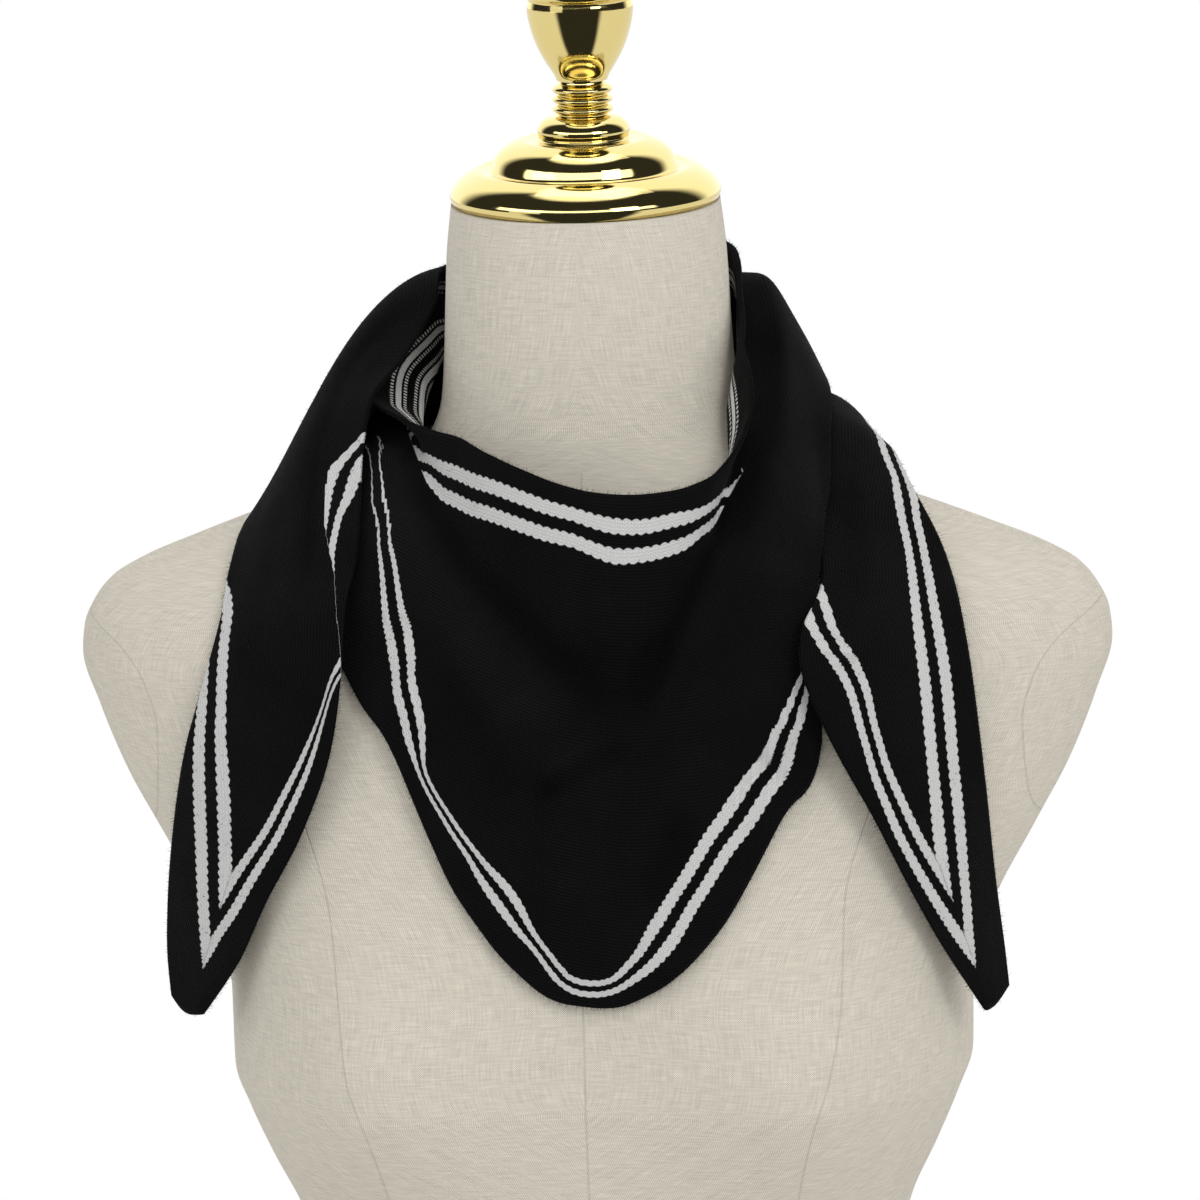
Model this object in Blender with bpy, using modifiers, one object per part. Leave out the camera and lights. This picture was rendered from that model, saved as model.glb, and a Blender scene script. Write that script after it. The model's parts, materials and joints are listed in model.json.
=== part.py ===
"""Knitted triangle scarf, wound once round the neck of a limbless dress form.

Frame: metres, +Z up, the chest faces -Y, the origin is at the centre of the form's flat base.
Tables are in millimetres. An angle round the neck is 0 at the front and grows towards +X.
"""
import math

import bpy
import numpy as np
from mathutils import Vector
from mathutils.bvhtree import BVHTree

MM = 0.001
COLLECTION = "knitted_triangle_scarf_on_dress_form"

# ---------------------------------------------------------------- driving sizes, mm
KNIT_THICKNESS = 2.2
SEAM_GAP = 1.0              # between two stretches of the scarf
REST_GAP = 0.45             # between the cloth and the form
LAYER_GAP = 1.0             # between two layers of cloth
FOLD_GAP = 0.5              # between two folds of one stretch
COLLAR_ROWS = 27            # points across the first turn
WRAP_LEFT_SECTIONS = 15
PANEL_SECTIONS = 30
END_LEFT_GRID = (34, 14)    # sections along it, points across it
END_RIGHT_GRID = (27, 11)
END_LEFT_START = 0.002      # the left end starts this share of its length past the nape's cut
FOLD_EASE = 2               # rounding passes on the folds read from the tables
SETTLE_ROUNDS = 16
SETTLE_EASE = 0.25          # rounding in each round of settling
OWN_RUN = 3.6               # cloth nearer than this along a section belongs to the same bend
EDGE_PUSH = 1.5             # the most that a corner under the cloth lifts it in one round
BESIDE_SHARE = 0.6          # a point this far from upright on a layer lies beside its edge
NECK_TOP = 537.0            # height of the neck plate's centre
NECK_TILT = 0.105           # forward slope of the neck plate
FORM_MIDDLE = (0, 0, 350)
SECTION_SQUARENESS = 2.25   # 2 is an ellipse
FORM_SEGMENTS = 44
FORM_RING_SPACING = 20.0
TILT_START = 495.0          # the neck plate's slope fades out down to this height
TURNED_GAP = 0.3            # between two turned pieces
FORM_REACH = 26             # cloth deeper in the form than this isn't lifted out of it
LAYER_REACH = 9             # the same for another layer of cloth

# Level sections of the dress form, from the flat base to the neck plate.
# Columns: height, half width, depth to the front, depth to the back.
FORM_SECTIONS = (
    (0, 124, 92, 86),
    (35, 114, 86, 77),
    (75, 106, 83, 68),
    (115, 107.5, 87, 64),
    (157, 117.5, 95, 66),
    (180, 128, 101, 70),
    (200, 136.5, 105, 74),
    (213, 141, 107, 77),
    (242, 141.5, 107, 82),
    (270, 150, 105, 86),
    (300, 166, 101, 88),
    (325, 179.5, 96, 88),
    (350, 189.5, 90, 86),
    (370, 195.5, 83.5, 82.5),
    (380, 194.5, 79.5, 79.5),
    (389, 190.5, 75.5, 77),
    (397, 184, 72, 74.5),
    (404, 172, 68.5, 72.5),
    (412, 152, 65, 70.5),
    (418, 136, 62.5, 69),
    (424, 119, 60, 67.5),
    (430, 101, 58, 66),
    (437, 82, 56, 64.5),
    (444, 68.5, 54.5, 62.5),
    (452, 60, 53.5, 60.5),
    (463, 56, 52.5, 57.5),
    (480, 54.5, 52, 54.5),
    (500, 53.5, 52, 52.5),
    (519, 52.5, 51.5, 51.5),
    (NECK_TOP, 50.5, 50, 50.5),
)
BUST = {"apex_x": 86, "apex_z": 222, "spread_x": 33, "spread_z": 36, "height": 30}

# Upright sections through the first turn of the scarf, one for each angle round the neck.
# Each column is a fold line that runs on from section to section: (distance from the neck's
# axis, height). The neckline edge is the triangle's long side and the hem one of its short sides.
# Columns: angle, then edge, tuck, ridge, dip, roll, hem.
COLLAR_COLUMNS = 6
TUCK_SHARES = (0.0, 0.17, 0.23, 0.36, 0.5, 0.7, 1.0)     # places of the columns, with the tuck's two sides
BRIDGE_SHARE = 0.6          # the cloth above spans a first-turn stretch from its edge to here
TUCK_WIDTH = 3.4
COLLAR_SECTIONS = (
    (-180, (60, 507), (58, 488), (62, 478), (65, 462), (69, 446), (73, 428)),
    (-140, (60, 505), (58, 486), (62, 478), (67, 462), (74, 446), (84, 427)),
    (-115, (61, 500), (58, 477), (64, 480), (72, 464), (82, 449), (100, 430)),
    (-102, (66, 498), (57.5, 473), (67, 477), (75.5, 463), (85, 449.5), (102.5, 433)),
    (-93, (74, 488), (57.5, 467), (71, 472), (78, 461.5), (88, 450), (104.5, 436)),
    (-86, (82, 478), (58.5, 462), (75, 464), (80.5, 456), (89.5, 447.5), (103, 435.5)),
    (-80, (84.5, 468), (59.5, 457), (78, 456), (83, 450), (91, 443), (101, 434)),
    (-74, (84.5, 465), (61, 454), (81, 452.5), (86, 446.5), (92, 440.5), (100.5, 432.5)),
    (-68, (84.5, 463.5), (62.5, 452), (83.5, 450), (88, 443.5), (93, 437.5), (100, 430.5)),
    (-62, (80, 461), (65.5, 448), (85, 447), (90, 438), (96, 429), (102.5, 420)),
    (-50, (76, 457), (72.5, 438), (90, 432), (98.5, 417), (108, 401), (118, 378)),
    (-44, (75.5, 456), (74, 432), (92, 423.5), (100.5, 407), (110, 388), (117.5, 361)),
    (-38, (75, 455), (76, 425), (94, 414), (102, 394), (110.5, 372), (115.5, 347)),
    (-26, (78, 450), (79, 407), (98, 388), (104, 362), (111, 330), (115, 302)),
    (-14, (80, 444), (82, 393), (100, 370), (105, 340), (110, 305), (114, 268)),
    (-4, (81, 439), (86, 379), (105, 354), (104, 332), (109, 295), (112, 253)),
    (5, (82, 436), (91, 366), (107, 351), (104, 338), (109, 305), (113, 251)),
    (14, (84, 435), (95, 357), (107, 349), (106, 340), (111, 320), (117, 258)),
    (24, (86, 436), (89, 384), (99, 377), (102, 368), (112, 345), (119, 276)),
    (34, (87, 440), (84, 411), (96, 406), (98, 398), (113, 372), (119.5, 306)),
    (39, (85, 444), (78.5, 421), (94, 415.5), (95.5, 406.5), (113, 386), (121.5, 325)),
    (43, (83.5, 448), (74.5, 430), (91.5, 424), (94, 415), (113, 398), (122, 340)),
    (45, (83, 450.5), (73, 432.5), (90, 429), (93, 419), (112, 402), (121.5, 354)),
    (46.5, (82.5, 452.5), (72, 434.5), (89, 432), (92, 422), (110, 406), (118.5, 391)),
    (52, (80.5, 462.5), (66.5, 443.5), (87, 442), (90, 434), (104, 421), (112, 411)),
    (58, (74, 474), (60, 456), (85, 450), (88, 443), (97, 434), (105, 422)),
    (68, (64, 484), (58, 463), (79, 465), (82, 458), (89, 449), (97, 437)),
    (78, (60.5, 492.5), (57.5, 470), (75, 478), (78, 471), (84, 463), (92, 452)),
    (92, (57.5, 505), (57, 482), (69, 499), (75, 487), (82, 478), (89, 465)),
    (110, (58.5, 516), (59.5, 492), (67, 512), (75, 497), (83, 483), (92, 464)),
    (130, (59.5, 519), (62, 497), (67.5, 510), (75, 492), (84, 474), (93, 452)),
    (155, (64, 513), (64, 497), (70, 491), (76, 474), (83, 456), (89, 436)),
    (180, (65, 513), (68, 498), (72, 485), (76, 468), (79, 450), (80, 428)),
)
COLLAR_CUTS = {"left": -62, "right": 50}    # where the front panel meets the two wraps
# Where the right wrap's sections lie, as shares of its turn: close together near the cut.
WRAP_RIGHT_SHARES = (
    0, 0.02, 0.042, 0.07, 0.1, 0.14, 0.185, 0.24, 0.3, 0.36, 0.43, 0.5, 0.57, 0.65, 0.73, 0.82, 0.91, 1,
)

# Sections across the end that comes forward over the -X shoulder, from the nape to its tip.
# Columns: the points inner, pleat, crown and outer, then how deep the inner part sinks at the pleat.
END_LEFT_SECTIONS = (
    ((0, 65, 513), (0, 72, 485), (0, 79, 450), (0, 80, 428), 0),
    ((-32, 56, 513), (-36, 63, 492), (-44, 74, 460), (-50, 82, 426), 0),
    ((-50, 35, 512), (-56, 39, 501), (-72, 48, 476), (-90, 62, 427), 0),
    ((-57, 13, 512), (-65, 13, 511), (-91, 10, 484), (-121, 12, 426), 2),
    ((-57, -3, 502), (-76, -4, 501), (-100.5, -4, 470), (-124, -8, 420), 2),
    ((-69, -21, 480), (-87, -18, 480), (-109, -15, 453), (-126, -22, 414), 1),
    ((-80, -36, 467), (-95, -28, 462), (-115, -28, 438), (-127.5, -36, 406), 2),
    ((-84, -49, 446), (-98, -44, 441), (-120, -43, 422), (-130, -50, 396), 4),
    ((-83, -70, 418), (-96, -66, 420), (-122, -58, 406), (-134, -59, 387), 5),
    ((-85, -84, 395), (-92, -86, 395), (-120, -76, 385), (-138, -65, 374), 3),
    ((-86.5, -91, 375), (-92, -92.5, 373), (-121, -82, 365), (-142, -69, 360), 1),
    ((-91, -95, 345), (-100, -94, 343), (-126, -84, 340), (-148, -68, 341), 0),
    ((-103, -94, 313), (-112, -91, 312), (-132, -80, 311), (-154.5, -61, 312), 0),
    ((-118, -88, 286), (-125, -84, 285), (-140, -74, 284), (-158.5, -55, 283), 0),
    ((-130, -78, 262), (-135, -75, 261), (-147, -64, 260), (-160, -51, 262), 0),
    ((-146, -64, 241), (-149, -62, 239), (-153, -58, 239), (-158.5, -53, 245), 0),
)
PLEAT_SHARE = 1 / 3         # the pleat column's place across the end
PLEAT_STEP = 0.09           # width of the step under the pleat, as a share of the way across
# Sections across the end that comes forward over the +X shoulder, from under the wrap to its tip.
# Columns: the points inner, crown and outer.
END_RIGHT_SECTIONS = (
    ((44, 72, 454), (43.5, 75, 448), (42, 78, 441)),
    ((70, 57, 449), (74, 62, 441), (77, 66, 427)),
    ((84, 33, 457), (93, 35, 450), (100, 38, 434)),
    ((85, 8, 463), (97, 8, 458), (108, 8, 443)),
    ((85, -16, 456), (100, -16, 454), (113, -17, 443)),
    ((86, -38, 437), (105, -37, 438), (121, -34, 431)),
    ((86, -55, 421), (109, -54, 415), (133, -49, 409)),
    ((90, -65, 410), (111, -61, 406), (136, -54, 400)),
    ((88, -76, 397.5), (112, -69, 396.5), (138, -59, 393)),
    ((84, -83, 390), (112, -75, 387), (140, -64, 383)),
    ((80, -92, 378), (112, -82, 375), (142, -68, 371)),
    ((91, -97, 347), (119, -86, 347), (145, -71, 346)),
    ((106, -95, 318), (127, -86, 319), (147.5, -68, 320)),
    ((120, -88, 288), (135, -79, 289), (150, -61, 290)),
    ((132, -75, 263), (142, -68, 264), (153, -53, 262)),
    ((146, -60, 238), (149, -57, 239), (154.5, -51, 246)),
)

# Turned pieces: (radius, height above the piece's own foot), from the top down the outer side.
CAP_PROFILE = (
    (0, 31.8), (10, 31.8), (13.6, 31), (16.4, 28.8), (17.4, 26), (17, 23.6), (19, 22.8), (22.6, 23.1),
    (26.6, 22.2), (30.8, 19.8), (33.8, 16.2), (35, 12.8), (36.6, 11.8), (39.8, 12.3), (43.8, 11), (47.8, 8.2),
    (50.4, 4.8), (51, 2.2), (50.2, 0), (0, 0),
)
STEM_BEADS = ((0.3, 3.6), (4.1, 3.4), (7.7, 3.8))      # (height of a bead's foot, its height)
STEM = {"bead_radius": 11.3, "groove_radius": 9.2, "neck_radius": 8.6, "neck_height": 12.8}
VASE_PROFILE = (
    (0, 39), (16, 39), (19, 37.2), (20.8, 34.4), (20.6, 31.8), (19.4, 30.4), (19.9, 27.4), (19, 20.6), (16.4, 12.6),
    (12.8, 5.8), (10.4, 2), (9.6, 0), (0, 0),
)
KNOB_PROFILE_STEPS = 9
KNOB = {"foot_radius": 11.5, "foot_height": 3.2, "neck_radius": 6.5, "neck_height": 3.4, "ball_radius": 13.5}
TURNED_STEPS = 26

MATERIALS = {
    "linen": {"color": (0.62, 0.57, 0.49), "roughness": 0.85, "metallic": 0.0},
    "black knit": {"color": (0.006, 0.006, 0.007), "roughness": 0.9, "metallic": 0.0},
    "polished gold": {"color": (0.83, 0.62, 0.20), "roughness": 0.12, "metallic": 1.0},
}


# ---------------------------------------------------------------- curves and grids
def smooth(table, at):
    """Read the columns of a table at new values of its first column, with no overshoot."""
    rows = np.array(table, float)
    x, y = rows[:, 0], rows[:, 1:]
    step = np.diff(x)
    slope = np.diff(y, axis=0) / step[:, None]
    tangent = np.zeros_like(y)
    tangent[0], tangent[-1] = slope[0], slope[-1]
    before, after = slope[:-1], slope[1:]
    weight_a = (2 * step[1:] + step[:-1])[:, None]
    weight_b = (step[1:] + 2 * step[:-1])[:, None]
    same = before * after > 0
    safe = np.where(same, weight_a * after + weight_b * before, 1.0)
    tangent[1:-1] = np.where(same, (weight_a + weight_b) * before * after / safe, 0.0)
    at = np.atleast_1d(np.asarray(at, float))
    i = np.clip(np.searchsorted(x, at, side="right") - 1, 0, len(step) - 1)
    t = ((at - x[i]) / step[i])[:, None]
    span = step[i][:, None]
    return (
        (1 + 2 * t) * (1 - t) ** 2 * y[i]
        + t * (1 - t) ** 2 * span * tangent[i]
        + t * t * (3 - 2 * t) * y[i + 1]
        + t * t * (t - 1) * span * tangent[i + 1]
    )


def across(landmarks, shares, count):
    """Smooth lines across a strip: landmarks is [section][column][xyz], the result [section][row][xyz]."""
    at = np.linspace(0, 1, count)
    rows = [smooth(np.column_stack([shares, section]), at) for section in landmarks]
    return np.array(rows)


def along(landmarks, stations, at):
    """Landmarks read at new stations along a strip."""
    count, columns, size = landmarks.shape
    flat = landmarks.reshape(count, columns * size)
    return smooth(np.column_stack([stations, flat]), at).reshape(len(at), columns, size)


def grid_faces(grid):
    """Quads of a grid whose points run section by section, facing away from the form's middle."""
    sections, rows, _ = grid.shape
    normals = np.cross(np.gradient(grid, axis=0), np.gradient(grid, axis=1))
    outwards = np.sum(normals * (grid - np.array(FORM_MIDDLE))) > 0
    faces = []
    for s in range(sections - 1):
        for r in range(rows - 1):
            a = s * rows + r
            quad = (a, a + rows, a + rows + 1, a + 1)
            faces.append(quad if outwards else quad[::-1])
    return faces


# ---------------------------------------------------------------- objects
def clear_scene():
    for thing in list(bpy.data.objects):
        bpy.data.objects.remove(thing, do_unlink=True)
    for group in list(bpy.data.collections):
        bpy.data.collections.remove(group)


def make_material(name):
    values = MATERIALS[name]
    material = bpy.data.materials.new(name)
    material.use_nodes = True
    shader = material.node_tree.nodes["Principled BSDF"]
    shader.inputs["Base Color"].default_value = (*values["color"], 1.0)
    shader.inputs["Roughness"].default_value = values["roughness"]
    shader.inputs["Metallic"].default_value = values["metallic"]
    return material


def add_object(name, points, faces, material, collection):
    mesh = bpy.data.meshes.new(name)
    mesh.from_pydata([Vector(p) * MM for p in points], [], faces)
    mesh.update()
    mesh.materials.append(material)
    thing = bpy.data.objects.new(name, mesh)
    collection.objects.link(thing)
    return thing


# ---------------------------------------------------------------- dress form
def form_point(height, angle):
    """A point on the form's surface, at a height and an angle round its axis."""
    half_width, front, back = smooth(FORM_SECTIONS, height)[0]
    sine, cosine = math.sin(angle), math.cos(angle)
    power = 2 / SECTION_SQUARENESS
    x = half_width * math.copysign(abs(sine) ** power, sine)
    y = -(front if cosine > 0 else back) * math.copysign(abs(cosine) ** power, cosine)
    if cosine > 0:
        sideways = ((abs(x) - BUST["apex_x"]) / BUST["spread_x"]) ** 2
        upwards = ((height - BUST["apex_z"]) / BUST["spread_z"]) ** 2
        y -= BUST["height"] * math.exp(-(sideways + upwards) / 2) * min(1, 3 * cosine)
    tilt_share = min(max((height - TILT_START) / (NECK_TOP - TILT_START), 0), 1)
    tilt_share = tilt_share * tilt_share * (3 - 2 * tilt_share)
    return (x, y, height + NECK_TILT * y * tilt_share)


def form_levels(spacing):
    """Ring heights: every table row, and rings between so that none is further apart than spacing."""
    levels = []
    for low, high in zip(FORM_SECTIONS, FORM_SECTIONS[1:]):
        run = math.hypot(high[0] - low[0], high[1] - low[1])
        parts = max(1, math.ceil(run / spacing))
        levels += [low[0] + (high[0] - low[0]) * k / parts for k in range(parts)]
    return levels + [NECK_TOP]


def form_mesh(segments, spacing):
    levels = form_levels(spacing)
    turn = 2 * math.pi / segments
    points = [form_point(z, k * turn) for z in levels for k in range(segments)]
    faces = []
    for ring in range(len(levels) - 1):
        for k in range(segments):
            a, b = ring * segments + k, ring * segments + (k + 1) % segments
            faces.append((a, b, b + segments, a + segments))
    return points, faces, len(levels)


def make_dress_form(material, collection):
    points, faces, rings = form_mesh(FORM_SEGMENTS, FORM_RING_SPACING)
    base = tuple(reversed(range(FORM_SEGMENTS)))
    top = tuple((rings - 1) * FORM_SEGMENTS + k for k in range(FORM_SEGMENTS))
    thing = add_object("dress_form", points, faces + [base, top], material, collection)
    thing.data.shade_smooth()
    thing.data.set_sharp_from_angle(angle=math.radians(50))
    return thing


# ---------------------------------------------------------------- turned gold pieces
def make_turned(name, profile, foot, tilt, material, collection):
    """Turn a profile about the piece's own upright axis and set it on its foot."""
    edges = [(i, i + 1) for i in range(len(profile) - 1)]
    mesh = bpy.data.meshes.new(name)
    mesh.from_pydata([(r * MM, 0, z * MM) for r, z in profile], edges, [])
    mesh.materials.append(material)
    thing = bpy.data.objects.new(name, mesh)
    collection.objects.link(thing)
    thing.location = Vector(foot) * MM
    thing.rotation_euler = (tilt, 0, 0)
    screw = thing.modifiers.new("turn", "SCREW")
    screw.steps = TURNED_STEPS
    screw.render_steps = TURNED_STEPS
    screw.use_merge_vertices = True
    screw.merge_threshold = 0.00001
    screw.use_smooth_shade = True
    return thing


def stem_profile():
    """Three beads on a narrow neck, as one turned outline from the top down."""
    outline = [(0, STEM["neck_height"]), (STEM["neck_radius"], STEM["neck_height"])]
    for foot, height in reversed(STEM_BEADS):
        outline.append((STEM["groove_radius"], foot + height))
        for k in (1, 2, 3):
            bulge = math.sin(math.pi * k / 4)
            radius = STEM["groove_radius"] + (STEM["bead_radius"] - STEM["groove_radius"]) * bulge
            outline.append((radius, foot + height * (1 - k / 4)))
        outline.append((STEM["groove_radius"], foot))
    return outline + [(STEM["groove_radius"], 0), (0, 0)]


def knob_profile():
    """A ball on a short foot."""
    neck_top = KNOB["foot_height"] + KNOB["neck_height"]
    sink = math.asin(KNOB["neck_radius"] / KNOB["ball_radius"])
    centre = neck_top + KNOB["ball_radius"] * math.cos(sink)
    outline = []
    for k in range(KNOB_PROFILE_STEPS + 1):
        angle = (math.pi - sink) * k / KNOB_PROFILE_STEPS
        outline.append((KNOB["ball_radius"] * math.sin(angle), centre + KNOB["ball_radius"] * math.cos(angle)))
    outline += [
        (KNOB["neck_radius"], KNOB["foot_height"] + 0.8),
        (KNOB["foot_radius"], KNOB["foot_height"]),
        (KNOB["foot_radius"], 0),
        (0, 0),
    ]
    return outline


def make_finial(material, collection):
    """Cap, stem, vase and knob, one above the other on the tilted neck plate."""
    tilt = math.atan(NECK_TILT)
    axis = Vector((0, -math.sin(tilt), math.cos(tilt)))
    heights = (0, CAP_PROFILE[0][1], STEM["neck_height"], VASE_PROFILE[0][1])
    profiles = (CAP_PROFILE, stem_profile(), VASE_PROFILE, knob_profile())
    names = ("neck_cap", "finial_stem", "finial_vase", "finial_knob")
    foot = Vector((0, 0, NECK_TOP)) + axis * REST_GAP
    for name, profile, rise in zip(names, profiles, heights):
        foot = foot + axis * (rise + (TURNED_GAP if rise else 0))
        make_turned(name, profile, foot, tilt, material, collection)


# ---------------------------------------------------------------- scarf
class Underlayer:
    """What a stretch of cloth has to stay clear of: a surface and the distance to keep from it."""

    def __init__(self, points, faces, distance, reach):
        self.points = [Vector(p) for p in points]
        self.tree = BVHTree.FromPolygons(self.points, faces)
        self.distance = distance
        self.reach = reach

    def lift(self, point):
        """The way out for a point that is too deep or too near, or None."""
        place, normal, _, gap = self.tree.find_nearest(Vector(point), self.reach)
        if place is None:
            return None
        way = Vector(point) - place
        depth = way.dot(normal)
        beside = gap > 0.05 and abs(depth) < BESIDE_SHARE * gap
        if (beside or depth > 0) and gap >= self.distance:
            return None
        if beside:
            return np.array(way) * (self.distance / gap - 1)
        return np.array(normal) * (self.distance - depth)


def fold_pushes(grid, distance):
    """Pushes that part those folds of a grid that come nearer each other than a distance."""
    sections, rows, _ = grid.shape
    tree = BVHTree.FromPolygons([Vector(p) for p in grid.reshape(-1, 3)], grid_faces(grid))
    lengths = np.linalg.norm(np.diff(grid, axis=1), axis=2)
    run = np.concatenate([np.zeros((sections, 1)), np.cumsum(lengths, axis=1)], axis=1)
    pushed = np.zeros_like(grid)
    for s in range(sections):
        for r in range(rows):
            point = Vector(grid[s, r])
            best = None
            for place, _, face, gap in tree.find_nearest_range(point, distance):
                near_r = face % (rows - 1)
                away = min(abs(run[s, near_r] - run[s, r]), abs(run[s, near_r + 1] - run[s, r]))
                if away > OWN_RUN and gap > 0.05 and (best is None or gap < best[1]):
                    best = (place, gap)
            if best:
                pushed[s, r] = np.array(point - best[0]) * (distance / best[1] - 1) / 2
    return pushed


def edge_pushes(grid, layers):
    """Pushes for the faces of a grid that a corner of the cloth under them comes too near."""
    rows = grid.shape[1]
    tree = BVHTree.FromPolygons([Vector(p) for p in grid.reshape(-1, 3)], grid_faces(grid))
    pushed = np.zeros((grid.shape[0] * rows, 3))
    for layer in layers:
        for point in layer.points:
            place, normal, face, gap = tree.find_nearest(point, layer.reach)
            if place is None:
                continue
            depth = (point - place).dot(normal)
            beside = gap > 0.05 and abs(depth) < BESIDE_SHARE * gap
            if beside or depth <= -layer.distance:
                continue
            corner = face // (rows - 1) * rows + face % (rows - 1)
            for index in (corner, corner + 1, corner + rows, corner + rows + 1):
                push = min(depth + layer.distance, EDGE_PUSH)
                if np.linalg.norm(pushed[index]) < push:
                    pushed[index] = np.array(normal) * push
    return pushed.reshape(grid.shape)


def settle(grid, form, layers=(), held=None, rounds=SETTLE_ROUNDS):
    """Move a grid off the form, off the cloth under it and out of its own folds, easing each push."""
    sections, rows, _ = grid.shape
    start = grid.copy()
    for turn in range(rounds):
        pushed = fold_pushes(grid, KNIT_THICKNESS + FOLD_GAP) + edge_pushes(grid, layers)
        for s in range(sections):
            for r in range(rows):
                for layer in (form, *layers):
                    way = layer.lift(grid[s, r] + pushed[s, r])
                    if way is not None:
                        pushed[s, r] += way
        if turn < rounds - 2:
            padded = np.pad(pushed, ((1, 1), (1, 1), (0, 0)), mode="edge")
            around = padded[:-2, 1:-1] + padded[2:, 1:-1] + padded[1:-1, :-2] + padded[1:-1, 2:]
            soft = around / 8 + pushed / 2
            bigger = np.linalg.norm(pushed, axis=2) >= np.linalg.norm(soft, axis=2)
            pushed = np.where(bigger[:, :, None], pushed, soft)
        grid = grid + pushed
        if turn < rounds - 3:
            grid = ease(grid, 1, SETTLE_EASE)
        if held is not None:
            grid[held] = start[held]
    return grid


def ease(grid, passes, share=0.5):
    """Round the folds of a grid across the strip, leaving its two long edges where they are."""
    for _ in range(passes):
        middle = (grid[:, :-2] + grid[:, 2:]) / 2
        inside = grid[:, 1:-1] * (1 - share) + middle * share
        grid = np.concatenate([grid[:, :1], inside, grid[:, -1:]], axis=1)
    return grid


def open_tuck(marks):
    """Give the tuck a rounded bottom: two points in place of one, side by side across the fold."""
    edge, tuck, ridge = marks[:, 0], marks[:, 1], marks[:, 2]
    to_edge = (edge - tuck) / np.linalg.norm(edge - tuck, axis=1, keepdims=True)
    to_ridge = (ridge - tuck) / np.linalg.norm(ridge - tuck, axis=1, keepdims=True)
    sideways = to_edge - to_ridge
    sideways *= TUCK_WIDTH / 2 / np.linalg.norm(sideways, axis=1, keepdims=True)
    return np.concatenate([marks[:, :1], marks[:, 1:2] + sideways[:, None], marks[:, 1:2] - sideways[:, None],
                           marks[:, 2:]], axis=1)


def collar_grid(angles, rows):
    """Part of the first turn, with a section at each angle."""
    table = np.array([[row[0], *np.ravel(row[1:])] for row in COLLAR_SECTIONS], float)
    marks = smooth(table, angles).reshape(len(angles), COLLAR_COLUMNS, 2)
    lines = across(open_tuck(marks), TUCK_SHARES, rows)
    turn = np.radians(angles)[:, None]
    radius, height = lines[:, :, 0], lines[:, :, 1]
    return ease(np.stack([radius * np.sin(turn), -radius * np.cos(turn), height], axis=2), FOLD_EASE)


def stations_of(marks):
    """How far along the strip each section lies, from 0 to 1, measured on its middle line."""
    middle = marks.mean(axis=1)
    run = np.concatenate([[0], np.cumsum(np.linalg.norm(np.diff(middle, axis=0), axis=1))])
    return run / run[-1]


def strip_grid(marks, sections, rows, start_share=0.0):
    """A hanging end, with its sections spread evenly over its length."""
    at = np.linspace(start_share, 1, sections)
    marks = along(marks, stations_of(marks), at)
    return across(marks, np.linspace(0, 1, marks.shape[1]), rows), at


def lower_pleat(grid, depths):
    """Sink the inner part of the left end under its pleat, by a depth for each section."""
    share = np.linspace(0, 1, grid.shape[1])
    step = np.clip((PLEAT_SHARE - share) / PLEAT_STEP + 0.5, 0, 1)
    step = step * step * (3 - 2 * step)
    normals = np.cross(np.gradient(grid, axis=0), np.gradient(grid, axis=1))
    normals /= np.linalg.norm(normals, axis=2, keepdims=True)
    if np.sum(normals * (grid - np.array(FORM_MIDDLE))) < 0:
        normals = -normals
    return grid - normals * step[None, :, None] * depths[:, :, None]


def make_cloth(name, grid, material, collection):
    thing = add_object(name, grid.reshape(-1, 3), grid_faces(grid), material, collection)
    wall = thing.modifiers.new("knit wall", "SOLIDIFY")
    wall.thickness = KNIT_THICKNESS * MM
    wall.offset = 0
    thing.data.shade_smooth()
    return thing


def bridge_tuck(grid):
    """A copy of a first-turn stretch whose tuck is closed over, as the cloth above it feels it."""
    closed = grid.copy()
    last = round(BRIDGE_SHARE * (grid.shape[1] - 1))
    share = np.linspace(0, 1, last + 1)[None, :, None]
    closed[:, :last + 1] = grid[:, :1] * (1 - share) + grid[:, last:last + 1] * share
    return closed


def as_layer(grid, gap=LAYER_GAP):
    return Underlayer(grid.reshape(-1, 3), grid_faces(grid), KNIT_THICKNESS + gap, LAYER_REACH)


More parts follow.
